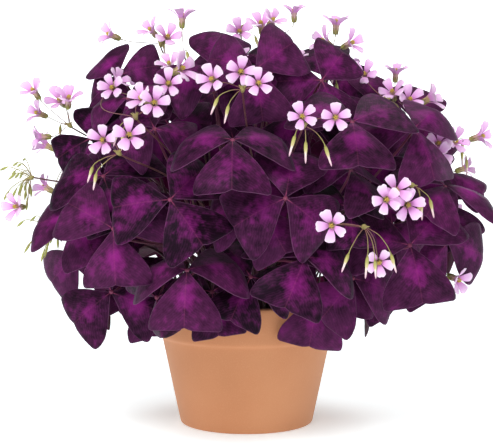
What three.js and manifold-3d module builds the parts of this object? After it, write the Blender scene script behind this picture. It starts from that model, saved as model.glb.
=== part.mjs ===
// Purple shamrock (Oxalis triangularis) in flower, in a terracotta pot. Millimetres, +Z up.
// The origin is on the pot's axis at its underside, and the plant's front faces -Y.
//
// The plant grows from short scaly crowns set in the soil. A crown sends up several thin stalks,
// each with one leaf of three leaflets on its tip. Between the crowns stand the flower stalks,
// each with an umbel of trumpet flowers and drooping buds. Crowns and flower stalks stand in holes
// in the soil, and every stalk, leaf and flower is routed clear of all the others.
import * as THREE from "three";
import { mergeVertices } from "three/addons/utils/BufferGeometryUtils.js";
import Module from "manifold-3d";

const wasm = await Module();
wasm.setup();

// ---------------------------------------------------------------- driving dimensions

const GAP = 0.3; // clearance between pieces that touch
const POT = {
  height: 90,
  footRadius: 48,
  neckRadius: 61.5, // body under the collar
  rimRadius: 67,
  collarHeight: 26,
  collarLip: 1.6, // how far the collar's lower edge stands out
  wall: 6.5,
  floor: 9,
  drainRadius: 8,
  sides: 28,
};
const SOIL = { top: 78, mound: 5, lump: 1.6, sides: 18 };
const CROWN = { radius: 6.2, tipRadius: 5.4, depth: 14, above: 3, sides: 5, leaves: 7 };
const CROWN_RINGS = [
  { radius: 0, count: 1 },
  { radius: 21, count: 5 },
  { radius: 41, count: 9 },
];
const SCAPE_RINGS = [
  { radius: 10.5, count: 3 },
  { radius: 31.5, count: 9 },
  { radius: 50.5, count: 14 },
];
const LEAF = {
  length: 39.5, // hub to the lobes of a leaflet
  halfSpread: THREE.MathUtils.degToRad(42),
  thickness: 0.8,
  hubRadius: 2.3,
  stalkRadius: 1.15,
};
const FLOWER = {
  radius: 10.2,
  notchRadius: 5.6, // where two petals part
  throatDepth: 5,
  tubeLength: 11,
  petalThickness: 0.7,
  lift: 2.4, // how far the petal tips stand in front of the throat's edge
  pedicelRadius: 0.75,
  scapeRadius: 1.15,
};
const BUD = { length: 13, radius: 1.7 };
const SCAPE_FOOT = { radius: 2.2, depth: 9 };
const STALK_WAY = { climb: 0.45, lead: 0.28 }; // how a leaf's stalk rises and then turns
const SCAPE_WAY = { climb: 0.9, lead: 0.45 }; // a flower stalk rises further before it turns

// The leaves' hubs lie on and inside this ellipsoid.
const CANOPY = { x: 3, y: -4, z: 163, rx: 138, ry: 130, rz: 103 };

// The front's leaves and umbels are placed as they are seen from this eye point, in mm across
// and up on the plane through the pot's axis.
const EYE = { distance: 1000, height: 215 };

// Front leaves: across, height, layer (1 is the outer one), spin of the first leaflet in
// degrees, pitch of the leaf's face above level, size, and the leaflets' fold in degrees where
// it isn't left to chance. Those on the outline come first.
const FRONT_LEAVES = [
  [145, 130, 1.0, 347, 14, 1.0, 20],
  [143, 171, 1.0, 335, 60, 1.0],
  [142, 186, 0.95, 0, 62, 0.9],
  [-98, 94, 1.02, 222, 16, 1.02],
  [-120, 122, 1.0, 216, 18, 1.0],
  [-121, 149, 0.98, 178, 40, 0.95],
  [-91, 250, 0.95, 136, 20, 0.85],
  [127, 111, 0.93, 285, 38, 0.9],
  [-10, 204, 1.1, 30, 45, 1.05],
  [28, 162, 1.04, 86, 26, 1.05],
  [-55, 161, 1.0, 57, 30, 1.05],
  [-43, 110, 1.06, 27, 44, 1.06],
  [42, 119, 1.04, 125, 36, 1.02],
  [118, 128, 1.04, 160, 24, 1.1],
  [3, 118, 0.95, 267, 40, 1.02],
  [75, 182, 0.98, 40, 55, 0.95],
  [76, 217, 1.02, 150, 48, 1.05],
  [114, 212, 1.02, 72, 42, 1.05],
  [-96, 140, 1.02, 150, 26, 1.02],
  [-103, 178, 1.02, 165, 42, 1.05],
  [-66, 199, 0.99, 50, 34, 1.0],
  [-85, 234, 1.02, 187, 44, 1.05],
  [77, 104, 1.0, 300, 26, 0.98],
  [52, 98, 1.0, 212, 16, 1.0],
  [-14, 100, 1.0, 285, 30, 0.95],
  [-65, 90, 1.02, 270, 10, 0.95, 58],
  [-77, 102, 0.93, 208, 25, 1.0],
  [-30, 256, 1.0, 180, 34, 1.0],
  [6, 254, 1.03, 40, 20, 1.1],
  [58, 248, 1.02, 107, 30, 1.05],
  [-80, 230, 0.9, 80, 10, 1.0],
  [-112, 205, 0.98, 115, 22, 1.0],
  [77, 112, 0.86, 350, 24, 0.95],
  [12, 103, 0.86, 270, 20, 0.95],
  [39, 232, 0.92, 270, 44, 1.0],
  [80, 155, 0.88, 200, 34, 0.95],
  [-34, 244, 0.88, 270, 44, 0.95],
  [98, 238, 0.95, 60, 30, 0.95],
  [134, 160, 0.88, 200, 34, 0.95],
  [9, 149, 0.88, 110, 30, 0.95],
  [-23, 133, 0.88, 100, 30, 0.95],
  [-62, 246, 0.95, 60, 16, 0.95],
  [121, 222, 0.9, 25, 34, 0.95],
  [105, 143, 0.86, 210, 28, 0.95],
  [30, 260, 0.9, 90, 24, 0.95],
  [-50, 215, 0.86, 120, 26, 0.95],
  [30, 190, 0.84, 150, 28, 0.95],
  [-110, 150, 0.84, 60, 26, 0.9],
];
const YAW = 0.12; // degrees that a front leaf turns aside for each mm across

const LEAF_COUNT = 65;
const SCREEN_COUNT = 78; // with the leaves that screen the view through the canopy
const FILL_LAYERS = [1.0, 0.88, 0.76, 0.64, 0.52];
const FILL_SITES = 200; // places tried on each layer
const VIEW_CELL = 3; // spacing of the spots that are looked through
const SCREEN_REACH = 0.92; // how far out these spots go, as a share of the canopy
const SCREEN_DEPTHS = Array.from({ length: 14 }, (_, i) => 15 * i - 100);
const SCREEN_TRIES = 30000;

// Umbels: across, height, standoff from the leaves' front, buds, way that the buds hang in
// degrees, then the flowers: across, height, standoff, yaw from the front, pitch.
const FRONT_UMBELS = [
  {
    at: [-127, 214, 6],
    buds: 1,
    hang: 200,
    flowers: [
      [-154, 241, 4, -40, 45],
      [-152, 224, -6, -60, 20],
      [-135, 234, -10, -20, 30],
      [-127, 236, 14, 15, 55],
      [-151, 206, 0, -75, 0],
    ],
  },
  {
    at: [-154, 177, 8],
    buds: 4,
    hang: 205,
    flowers: [
      [-168, 156, 18, -35, 5],
    ],
  },
  {
    at: [-136, 142, 12],
    buds: 3,
    hang: 215,
    flowers: [],
  },
  {
    at: [-80, 220, 26],
    buds: 2,
    hang: 250,
    flowers: [
      [-97, 242, 32, -12, 12],
      [-90, 248, 12, 60, 40],
      [-66, 231, 34, 6, 8],
      [-77, 235, 22, -40, 25],
      [-84, 208, 40, 8, 10],
    ],
  },
  {
    at: [-92, 194, 20],
    buds: 2,
    hang: 240,
    flowers: [
      [-104, 204, 30, -8, 4],
    ],
  },
  {
    at: [-45, 266, 20],
    buds: 1,
    hang: 300,
    flowers: [
      [-56, 245, 42, 0, 10],
      [-56, 260, 22, -30, 50],
      [-44, 256, 34, 55, 20],
      [-46, 295, 0, 0, 85],
    ],
  },
  {
    at: [-62, 272, -30],
    buds: 1,
    hang: 200,
    flowers: [
      [-70, 284, -34, -50, 40],
      [-56, 279, -20, 10, 30],
      [-100, 280, -20, -60, 20],
    ],
  },
  {
    at: [-3, 240, 30],
    buds: 2,
    hang: 230,
    flowers: [
      [-4, 253, 46, 0, 5],
      [9, 245, 50, 5, 8],
      [-7, 264, 30, -10, 60],
      [-26, 248, 40, -20, 10],
    ],
  },
  {
    at: [-4, 284, -30],
    buds: 4,
    hang: 195,
    flowers: [
      [-5, 282, 4, 0, 12],
      [-21, 271, -22, -30, 35],
    ],
  },
  {
    at: [22, 276, -10],
    buds: 1,
    hang: 330,
    flowers: [
      [20, 291, -18, 40, 40],
      [34, 298, -6, 0, 85],
      [10, 289, -24, -10, 55],
      [35, 264, 24, 0, 70],
    ],
  },
  {
    at: [60, 256, 12],
    buds: 3,
    hang: 265,
    flowers: [
      [53, 276, -8, -60, 30],
      [64, 290, -4, 10, 80],
      [77, 274, 4, 50, 20],
    ],
  },
  {
    at: [41, 214, 34],
    buds: 3,
    hang: 270,
    flowers: [
      [40, 221, 44, 0, 6],
      [64, 220, 44, 0, 0],
    ],
  },
  {
    at: [100, 232, 14],
    buds: 2,
    hang: 280,
    flowers: [
      [84, 252, 22, -10, 20],
      [107, 255, -10, 10, 75],
      [104, 240, 14, -20, 40],
      [118, 234, 14, 15, 20],
      [135, 235, 0, 70, 25],
    ],
  },
  {
    at: [146, 201, 12],
    buds: 3,
    hang: 325,
    flowers: [
      [138, 202, 28, -5, 10],
      [137, 193, 32, 0, 0],
      [152, 204, 10, 30, 20],
      [171, 207, 4, 62, 15],
    ],
  },
  {
    at: [119, 172, 24],
    buds: 3,
    hang: 270,
    flowers: [
      [101, 161, 36, 0, 4],
      [108, 168, 34, 0, 8],
      [117, 157, 38, 5, 0],
    ],
  },
  {
    at: [85, 141, 30],
    buds: 4,
    hang: 265,
    flowers: [
      [61, 142, 38, -8, 0],
      [96, 115, 38, 0, -5],
    ],
  },
  {
    at: [139, 112, 10],
    buds: 0,
    hang: 300,
    flowers: [
      [155, 102, 14, 45, -15],
    ],
  },
];
const BACK_UMBELS = 5;

// ---------------------------------------------------------------- small helpers

const { cos, sin, abs, max, min, sqrt, exp, hypot, PI } = Math;
const RAD = PI / 180;
const V = (x, y, z) => new THREE.Vector3(x, y, z);
const UP = V(0, 0, 1);
const mix = (a, b, share) => a + (b - a) * share;

// A seeded generator, so that the same plant grows every time.
let seed = 11;
function draw(low, high) {
  seed = (Math.imul(seed, 1664525) + 1013904223) >>> 0;
  return low + ((high - low) * seed) / 2 ** 32;
}

// The two directions in the plane square to a normal: level, and up the slope.
function planeAxes(normal) {
  const level = hypot(normal.x, normal.y);
  const across = level > 1e-3 ? V(-normal.y / level, normal.x / level, 0) : V(1, 0, 0);
  return [across, normal.clone().cross(across)];
}

function bezier(a, b, c, d, t) {
  const u = 1 - t;
  return V(0, 0, 0)
    .addScaledVector(a, u * u * u)
    .addScaledVector(b, 3 * u * u * t)
    .addScaledVector(c, 3 * u * t * t)
    .addScaledVector(d, t * t * t);
}

// Points every few millimetres along the straight stretches between a curve's steps.
function along(curve, steps) {
  const corners = steps.map((t) => bezier(...curve, t));
  const points = [corners[0]];
  for (let i = 1; i < corners.length; i++) {
    const count = Math.ceil(corners[i].distanceTo(corners[i - 1]) / 2);
    for (let n = 1; n <= count; n++)
      points.push(corners[i - 1].clone().lerp(corners[i], n / count));
  }
  return points;
}

// ---------------------------------------------------------------- places on the canopy

// The way that a leaf or umbel at a point faces: straight out of the canopy, but hardly down
// where it hangs low.
function outwards(p) {
  const rise = (p.z - CANOPY.z) / CANOPY.rz ** 2;
  return V(
    (p.x - CANOPY.x) / CANOPY.rx ** 2,
    (p.y - CANOPY.y) / CANOPY.ry ** 2,
    rise < 0 ? 0.15 * rise : rise,
  ).normalize();
}

// The point that is seen from the eye at (across, height), at the depth y.
function seenAt(across, height, y) {
  const share = (EYE.distance + y) / EYE.distance;
  return V(across * share, y, mix(EYE.height, height, share));
}

// The depth y at which the line of sight meets the canopy's front, grown by a layer factor.
// Past its outline this is the depth of its widest part.
function frontDepth(across, height, layer) {
  const dx = across / CANOPY.rx;
  const dy = EYE.distance / CANOPY.ry;
  const dz = (height - EYE.height) / CANOPY.rz;
  const ox = -CANOPY.x / CANOPY.rx;
  const oy = (-EYE.distance - CANOPY.y) / CANOPY.ry;
  const oz = (EYE.height - CANOPY.z) / CANOPY.rz;
  const a = dx * dx + dy * dy + dz * dz;
  const b = ox * dx + oy * dy + oz * dz;
  const c = ox * ox + oy * oy + oz * oz - layer * layer;
  return EYE.distance * ((-b - sqrt(max(0, b * b - a * c))) / a - 1);
}

// ---------------------------------------------------------------- keeping things clear

// Points on everything placed so far, kept in cells of space. Two kinds of thing keep at least
// the distance between them; a cell is twice the largest of these.
const CELL = 8;
const CLEAR = {
  blade: { blade: 2.0, stalk: 2.3, bloom: 2.8 },
  stalk: { blade: 2.3, stalk: 2.7, bloom: 2.8 },
  bloom: { blade: 2.8, stalk: 2.8, bloom: 2.8 },
};
const BUNCH_ROOT = 20; // stems of one bunch are together this near to its root
const BUNCH_GAP = 2.3;
const cells = new Map();
const cellKey = (i, j, k) => ((i + 128) * 256 + j + 128) * 256 + k + 128;

function keep(kind, owner, points, bunch) {
  for (const point of points) {
    const [i, j, k] = point.toArray().map((value) => Math.floor(value / CELL));
    const key = cellKey(i, j, k);
    if (!cells.has(key)) cells.set(key, []);
    cells.get(key).push({ kind, owner, point, bunch });
  }
}

// True when no point comes too near to anything of another owner.
function isClear(kind, owner, points, bunch) {
  const least = CLEAR[kind];
  return points.every((p) => {
    const i = Math.round(p.x / CELL);
    const j = Math.round(p.y / CELL);
    const k = Math.round(p.z / CELL);
    for (let corner = 0; corner < 8; corner++) {
      const near = cells.get(cellKey(i - (corner & 1), j - ((corner >> 1) & 1), k - (corner >> 2)));
      for (const other of near ?? []) {
        const same = bunch !== undefined && other.bunch === bunch;
        if (other.owner === owner || (same && p.distanceTo(bunch.root) < BUNCH_ROOT)) continue;
        const apart = same ? BUNCH_GAP : least[other.kind];
        if (p.distanceToSquared(other.point) < apart ** 2) return false;
      }
    }
    return true;
  });
}

const potRadius = (z) => mix(POT.footRadius, POT.rimRadius, z / POT.height);

// Leaves stay outside the pot and above its rim, and stalks pass over the rim.
function clearsPot(kind, points) {
  const margin = kind === "stalk" ? 2 : 3;
  return points.every((p) => {
    const r = hypot(p.x, p.y);
    if (p.z > POT.height + margin) return true;
    if (r > potRadius(p.z) + POT.collarLip + margin) return p.z > 30;
    return kind === "stalk" && r < potRadius(p.z) - POT.wall - margin && p.z > SOIL.top - 1;
  });
}

// ---------------------------------------------------------------- crowns and flower-stalk sites

const ringSites = (rings) =>
  rings.flatMap(({ radius, count }, ring) =>
    Array.from({ length: count }, (_, i) => {
      const angle = (2 * PI * (i + 0.5 * (ring % 2))) / count;
      return V(radius * cos(angle), radius * sin(angle), 0);
    }),
  );

const crowns = ringSites(CROWN_RINGS).map((place) => ({
  place,
  root: V(place.x, place.y, soilHeight(place.x, place.y)),
  leaves: [],
  slots: Array.from({ length: CROWN.leaves }, (_, i) => (i * 2 * PI) / CROWN.leaves),
}));
const scapeSites = ringSites(SCAPE_RINGS);

// The soil's surface, with low lumps.
function soilHeight(x, y) {
  const r = hypot(x, y) / (POT.rimRadius - POT.wall);
  const lumps = sin(x * 0.31 + 1) * sin(y * 0.27) + 0.6 * sin(x * 0.13 - y * 0.19);
  return SOIL.top + SOIL.mound * (1 - r * r) + SOIL.lump * lumps * (1 - r);
}

// ---------------------------------------------------------------- leaves

// How far a leaflet's outer edge lies from the hub, u of the way from its midrib to its side,
// as a share of its length: a straight edge with two lobes, a notch and rounded corners.
function lobeEdge(u) {
  const straight = 0.87 / cos(u * LEAF.halfSpread);
  const notch = 0.07 * exp(-((u / 0.15) ** 2));
  const corner = 0.34 * max(0, (u - 0.62) / 0.38) ** 2;
  return straight + 0.05 * sin(PI * u) - notch - corner;
}

// A point of leaflet k, s of the way out and t from its left side (-1) to its right (1).
function leafPoint(leaf, k, s, t) {
  const r = s * leaf.length * lobeEdge(abs(t));
  const out = r * cos(t * LEAF.halfSpread);
  const side = r * sin(t * LEAF.halfSpread);
  const slope = leaf.pitch[k] - (leaf.bend * out) / (2 * leaf.length);
  const drop = -abs(side) * sin(leaf.fold);
  const heading = leaf.spin + leaf.turn[k] + (k * 2 * PI) / 3;
  const [across, upslope] = leaf.axes;
  return leaf.hub
    .clone()
    .addScaledVector(across, cos(heading) * (out * cos(slope) - drop * sin(slope)))
    .addScaledVector(upslope, sin(heading) * (out * cos(slope) - drop * sin(slope)))
    .addScaledVector(across, -sin(heading) * side * cos(leaf.fold))
    .addScaledVector(upslope, cos(heading) * side * cos(leaf.fold))
    .addScaledVector(leaf.normal, out * sin(slope) + drop * cos(slope));
}

// A stalk rises out of the pot, arches over the rim where its leaf hangs low, and meets the
// leaf from behind. climb is the share of its height that it first rises by, and lead is how far
// behind its end it turns towards it, as a share of its span.
function stalkCurve(base, hub, normal, { climb, lead } = STALK_WAY) {
  const hang = min(1, max(0, (POT.height + 70 - hub.z) / 70));
  const rise = max(climb * (hub.z - base.z), 62);
  const outward = V(hub.x - base.x, hub.y - base.y, 0);
  return [
    base,
    base.clone().addScaledVector(UP, rise).addScaledVector(outward, 0.1),
    hub
      .clone()
      .addScaledVector(normal, -lead * base.distanceTo(hub))
      .addScaledVector(UP, 26 * hang * (1 - normal.z)),
    hub,
  ];
}

const STALK_STEPS = [0, 0.34, 0.68, 1];
const SCAPE_STEPS = [0.1, 0.36, 0.66];
const SAMPLE_ROWS = 14;

// The points of a blade that are tested, about 2.8 mm apart, in an order that soon reaches every
// part of it.
const BLADE_SAMPLES = [];
for (let k = 0; k < 3; k++)
  for (let row = 1; row <= SAMPLE_ROWS; row++) {
    const count = Math.ceil(1.45 * row) + 1;
    for (let i = 0; i <= count; i++)
      BLADE_SAMPLES.push([k, row / SAMPLE_ROWS, (2 * i) / count - 1]);
  }
const shuffled = BLADE_SAMPLES.map((sample, i) => [(i * 0.618034) % 1, sample]);
shuffled.sort((a, b) => a[0] - b[0]);
shuffled.forEach(([, sample], i) => (BLADE_SAMPLES[i] = sample));

// The blade's points, or null when one of them isn't clear.
function clearBlade(leaf) {
  const points = [];
  for (const [k, s, t] of BLADE_SAMPLES) {
    const point = leafPoint(leaf, k, s, t);
    if (!clearsPot("blade", [point]) || !isClear("blade", leaf, [point])) return null;
    points.push(point);
  }
  return points;
}

// True when a stalk passes through its own leaf's blade before it reaches the hub.
const crossesOwnBlade = (stalk, blade, hub) =>
  stalk.some((p) => p.distanceTo(hub) > 9 && blade.some((q) => p.distanceToSquared(q) < 7));

// Changes tried in turn when a leaf isn't clear of the rest: turned, moved in or out, nudged
// aside, and smaller.
const TURNS = [0, 9, -9, 18, -18, 30, -30, 45, -45, 60];
const SHIFTS = [0, 0.04, -0.04, 0.08, -0.08, -0.13, -0.19];
const NUDGES = [
  [0, 0],
  [6, 0],
  [-6, 0],
  [0, 6],
  [0, -6],
  [11, 6],
  [-11, 6],
  [-11, -6],
  [11, -6],
  [0, 13],
  [0, -13],
];
const SIZES = [1, 0.88, 0.77];

let leafTotal = 0;

// Grows a stalk for a leaf whose blade is clear, from one of the crowns nearest to it, and keeps
// them both. Says false when no crown gives a clear way.
function growStalk(leaf, blade) {
  const wanted = V(leaf.hub.x, leaf.hub.y, 0).multiplyScalar(44 / CANOPY.rx);
  const near = crowns.filter((crown) => crown.slots.length);
  near.sort((a, b) => a.place.distanceTo(wanted) - b.place.distanceTo(wanted));
  return near.slice(0, 5).some((crown) => {
    const heading = Math.atan2(leaf.hub.y - crown.place.y, leaf.hub.x - crown.place.x);
    const slot = crown.slots.reduce((best, other) =>
      cos(other - heading) > cos(best - heading) ? other : best,
    );
    const foot = V(2.8 * cos(slot), 2.8 * sin(slot), 0).add(crown.place);
    foot.z = soilHeight(crown.place.x, crown.place.y) + CROWN.above - 1;
    leaf.stalk = stalkCurve(foot, leaf.hub, leaf.normal);
    const stalk = along(leaf.stalk, STALK_STEPS);
    const last = leaf.hub.clone().sub(bezier(...leaf.stalk, STALK_STEPS.at(-2))).normalize();
    if (!clearsPot("stalk", stalk) || last.dot(leaf.normal) < 0.3) return false;
    if (!isClear("stalk", leaf, stalk, crown)) return false;
    if (crossesOwnBlade(stalk, blade, leaf.hub)) return false;
    keep("blade", leaf, blade);
    keep("stalk", leaf, stalk, crown);
    crown.leaves.push(leaf);
    crown.slots.splice(crown.slots.indexOf(slot), 1);
    leafTotal++;
    leaves.push(leaf);
    return true;
  });
}

// A leaf's own shape: how its leaflets fold, bend, rise and turn.
const drawLeaf = (fold) => ({
  fold: (fold ?? draw(8, 24)) * RAD,
  bend: draw(20, 46) * RAD,
  pitch: [draw(-12, 10), draw(-12, 10), draw(-12, 10)].map((a) => a * RAD),
  turn: [draw(-7, 7), draw(-7, 7), draw(-7, 7)].map((a) => a * RAD),
});

function poseLeaf(leaf, hub, normal, spin, length) {
  const axes = planeAxes(normal);
  return Object.assign(leaf, { hub, normal, axes, spin: spin * RAD, length });
}

// Sets one leaf at the first of its tries that is clear, if there is one. A try is a size, a
// nudge sideways and upwards, a shift in or out, and a turn.
function placeLeaf({ hubAt, faceAt, spin, size, fold }, sizes = SIZES, nudges = NUDGES) {
  const leaf = drawLeaf(fold);
  const tilt = V(draw(-0.14, 0.14), draw(-0.14, 0.14), draw(-0.1, 0.1));
  for (const share of sizes)
    for (const nudge of nudges)
      for (const turn of TURNS)
        for (const shift of SHIFTS) {
          const hub = hubAt(shift, nudge);
          const normal = faceAt(hub).add(tilt).normalize();
          poseLeaf(leaf, hub, normal, spin + turn, LEAF.length * size * share);
          const blade = clearBlade(leaf);
          if (blade && growStalk(leaf, blade)) return;
        }
}

function placeFrontLeaves() {
  FRONT_LEAVES.forEach(([across, height, layer, spin, pitch, size, fold]) => {
    const hubAt = (shift, [sideways, upwards]) => {
      const depth = frontDepth(across + sideways, height + upwards, layer + shift);
      return seenAt(across + sideways, height + upwards, depth);
    };
    const faceAt = () => facing(YAW * across, pitch);
    placeLeaf({ hubAt, faceAt, spin, size, fold });
  });
}

// The rest of the leaves: each layer is tried at sites on a golden spiral, here and there over
// its whole height.
function placeFillLeaves() {
  for (const layer of FILL_LAYERS)
    for (let n = 0; n < FILL_SITES && leafTotal < LEAF_COUNT; n++) {
      const i = Math.floor(FILL_SITES * ((n * 0.618034) % 1));
      const level = mix(0.97, -0.72, (i + 0.5) / FILL_SITES);
      const angle = i * PI * (3 - sqrt(5)) + layer;
      const ring = sqrt(1 - level * level);
      const hubAt = (shift) =>
        V(
          CANOPY.x + (layer + shift) * CANOPY.rx * ring * cos(angle),
          CANOPY.y + (layer + shift) * CANOPY.ry * ring * sin(angle),
          CANOPY.z + (layer + shift) * CANOPY.rz * level,
        );
      const pitch = draw(14, 40) + 38 * max(0, level) ** 2;
      const faceAt = () => facing(90 + angle / RAD, pitch);
      const spin = draw(0, 120);
      placeLeaf({ hubAt, faceAt, spin, size: draw(0.92, 1.1) }, SIZES.slice(0, 2), [NUDGES[0]]);
    }
}

// ---------------------------------------------------------------- screening leaves

const leaves = [];

// Where a point is seen from the eye, across and up: the opposite of seenAt.
function viewOf(p) {
  const share = (EYE.distance + p.y) / EYE.distance;
  return [p.x / share, EYE.height + (p.z - EYE.height) / share];
}

// The triangles of a leaf as they are seen from the eye.
function viewFans(leaf) {
  const hub = viewOf(leaf.hub);
  return [0, 1, 2].flatMap((k) => {
    const corners = [-0.93, -0.56, 0, 0.56, 0.93].map((t) => viewOf(leafPoint(leaf, k, 1, t)));
    return corners.slice(1).map((corner, i) => [hub, corners[i], corner]);
  });
}

function isInside(triangle, [x, z]) {
  const turns = triangle.map(([ax, az], i) => {
    const [bx, bz] = triangle[(i + 1) % 3];
    return (bx - ax) * (z - az) - (bz - az) * (x - ax);
  });
  return turns.every((turn) => turn > 0) || turns.every((turn) => turn < 0);
}

// The spots of some that a leaf leaves open to the eye.
function leftOpen(spots, leaf) {
  const fans = viewFans(leaf);
  const [x, z] = viewOf(leaf.hub);
  return spots.filter(
    (spot) =>
      hypot(x - spot[0], z - spot[1]) > 1.3 * LEAF.length ||
      !fans.some((triangle) => isInside(triangle, spot)),
  );
}

// Leaves deep in the canopy that close the views through it, each where it closes the most.
function placeScreenLeaves() {
  let spots = [];
  for (let z = 100; z < 262; z += VIEW_CELL)
    for (let x = -125; x < 125; x += VIEW_CELL)
      if (hypot(x / CANOPY.rx, (z - CANOPY.z) / CANOPY.rz) < SCREEN_REACH) spots.push([x, z]);
  for (const leaf of leaves) spots = leftOpen(spots, leaf);
  while (leafTotal < SCREEN_COUNT) {
    const shape = drawLeaf(10);
    const poses = [];
    for (const [x, z] of spots)
      for (const depth of SCREEN_DEPTHS)
        for (let n = 0; n < 4; n++) {
          const spin = draw(0, 360);
          const reach = draw(8, 22);
          const length = LEAF.length * draw(0.7, 1);
          const hub = seenAt(x - reach * cos(spin * RAD), z - 0.8 * reach * sin(spin * RAD), depth);
          const normal = facing(YAW * x + draw(-25, 25), draw(0, 50));
          const leaf = poseLeaf({ ...shape }, hub, normal, spin, length);
          poses.push({ leaf, open: leftOpen(spots, leaf).length });
        }
    poses.sort((a, b) => a.open - b.open);
    const found = poses.slice(0, SCREEN_TRIES).find(({ leaf }) => {
      const blade = clearBlade(leaf);
      return blade && growStalk(leaf, blade);
    });
    if (!found) break;
    spots = leftOpen(spots, found.leaf);
  }
}

// ---------------------------------------------------------------- flowers

const facing = (yaw, pitch) =>
  V(sin(yaw * RAD) * cos(pitch * RAD), -cos(yaw * RAD) * cos(pitch * RAD), sin(pitch * RAD));

function flowerPoints(flower) {
  const [across, upslope] = flower.axes;
  const points = [0, -3.5, -7, -FLOWER.tubeLength].map((w) =>
    flower.centre.clone().addScaledVector(flower.facing, w),
  );
  for (let i = 0; i < 10; i++) {
    const angle = (i * PI) / 5 + flower.spin;
    const reach = i % 2 ? FLOWER.notchRadius : FLOWER.radius;
    for (const share of [0.4, 0.7, 1])
      points.push(
        flower.centre
          .clone()
          .addScaledVector(across, share * reach * flower.size * cos(angle))
          .addScaledVector(upslope, share * reach * flower.size * sin(angle))
          .addScaledVector(flower.facing, i % 2 ? 0 : share * FLOWER.lift),
      );
  }
  return points;
}

// A pedicel leaves the umbel's knot along its own ray and comes into the flower or bud from
// behind.
function pedicelCurve(knot, end, direction, ray) {
  const span = knot.distanceTo(end);
  return [
    knot.clone().addScaledVector(ray, 0.9),
    knot.clone().addScaledVector(ray, 0.25 * span),
    end.clone().addScaledVector(direction, -0.28 * span),
    end,
  ];
}

// The rays by which members leave a knot: in the order of their bearings round its axis, evenly
// spread, and leaning out to where each member goes.
function spreadRays(knot, axis, ends) {
  const [across, upslope] = planeAxes(axis);
  const bearings = ends.map((end) => {
    const to = end.clone().sub(knot);
    return Math.atan2(to.dot(upslope), to.dot(across));
  });
  const order = ends.map((_, i) => i).sort((a, b) => bearings[a] - bearings[b]);
  const rays = [];
  order.forEach((member, place) => {
    const even = ((place + 0.5) / ends.length) * 2 * PI - PI;
    const turn = Math.atan2(sin(even - bearings[member]), cos(even - bearings[member]));
    const angle = bearings[member] + 0.6 * turn;
    rays[member] = V(0, 0, 0)
      .addScaledVector(across, cos(angle))
      .addScaledVector(upslope, sin(angle))
      .addScaledVector(axis, 0.35 + 0.5 * (place % 2))
      .normalize();
  });
  return rays;
}

const umbels = [];
const RAY_TURNS = [0, 0.5, -0.5, 1, -1, 1.6, -1.6];
const STANDOFFS = [0, 5, -5, 10, -10, 16, 22];

function budPoints({ base, way, length }) {
  return [0, 0.2, 0.4, 0.6, 0.8, 1].map((share) => base.clone().addScaledVector(way, share * length));
}

// A bud hangs to one side of its knot, angle from level, with its tip down.
function drawBud(knot, angle) {
  const outward = outwards(knot);
  const [across] = planeAxes(outward);
  const reach = draw(14, 25);
  const base = knot
    .clone()
    .addScaledVector(across, reach * cos(angle))
    .addScaledVector(outward, draw(4, 12))
    .addScaledVector(UP, reach * sin(angle) + 3);
  const way = V(0, 0, -1).addScaledVector(across, 0.6 * cos(angle)).normalize();
  return { base, way, length: BUD.length * draw(0.85, 1.1) };
}

// A pedicel that comes nearly straight into its flower is one straight stretch.
const isStraight = ({ pedicel, facing: way }) =>
  pedicel[3].clone().sub(pedicel[0]).normalize().dot(way) > 0.55;

function placeUmbel({ knotAt, flowers, buds, hang }) {
  const knot = knotAt(0);
  const umbel = { root: knot, knot, flowers: [], buds: [] };
  umbels.push(umbel);
  for (const { centreAt, facing: way } of flowers) {
    const flower = { facing: way, axes: planeAxes(way), spin: draw(0, 72) * RAD, size: draw(0.9, 1.06) };
    const open = STANDOFFS.find((extra) => {
      flower.centre = centreAt(extra);
      return isClear("bloom", flower, flowerPoints(flower));
    });
    if (open === undefined) continue;
    flower.base = flower.centre.clone().addScaledVector(way, -FLOWER.tubeLength);
    umbel.flowers.push(flower);
    keep("bloom", flower, flowerPoints(flower));
  }
  for (let i = 0; i < buds; i++)
    for (let attempt = 0; attempt < 8; attempt++) {
      const spread = (i - (buds - 1) / 2) * (buds > 5 ? 0.32 : 0.45) + draw(-0.15, 0.15);
      const bud = drawBud(knot, hang * RAD + spread);
      const points = budPoints(bud);
      const others = umbel.buds.flatMap(budPoints);
      const apart = points.every((p) => others.every((q) => p.distanceToSquared(q) > 14));
      if (!apart || !isClear("stalk", bud, points)) continue;
      umbel.buds.push(bud);
      break;
    }
  const outward = outwards(knot);
  const axis = V(0, 0, 0.5).add(outward).normalize();
  const members = [...umbel.flowers, ...umbel.buds];
  const rays = spreadRays(knot, axis, members.map((member) => member.base));
  members.forEach((member, i) => {
    let points;
    RAY_TURNS.some((turn) => {
      const ray = rays[i].clone().applyAxisAngle(axis, turn);
      member.pedicel = pedicelCurve(knot, member.base, member.facing ?? member.way, ray);
      member.steps = member.facing && isStraight(member) ? [0, 1] : [0, 0.5, 1];
      points = along(member.pedicel, member.steps).slice(3);
      return isClear("stalk", member, points, umbel);
    });
    keep("stalk", member, points, umbel);
  });
  for (const bud of umbel.buds) keep("stalk", bud, budPoints(bud), umbel);
  const wanted = V(knot.x, knot.y, 0).multiplyScalar(52 / CANOPY.rx);
  const free = scapeSites.filter((s) => !umbels.some((u) => u.site === s));
  free.sort((a, b) => a.distanceTo(wanted) - b.distanceTo(wanted));
  const scapes = free.slice(0, 10).map((site) => {
    const foot = V(site.x, site.y, soilHeight(site.x, site.y) + 1);
    return { site, scape: stalkCurve(foot, knot, outward, SCAPE_WAY) };
  });
  const open = scapes.find(({ scape }) => {
    const stalk = along(scape, [0, ...SCAPE_STEPS, 1]);
    return clearsPot("stalk", stalk) && isClear("stalk", umbel, stalk);
  });
  Object.assign(umbel, open ?? scapes[0]);
  keep("stalk", umbel, along(umbel.scape, [0, ...SCAPE_STEPS, 1]));
}

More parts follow.
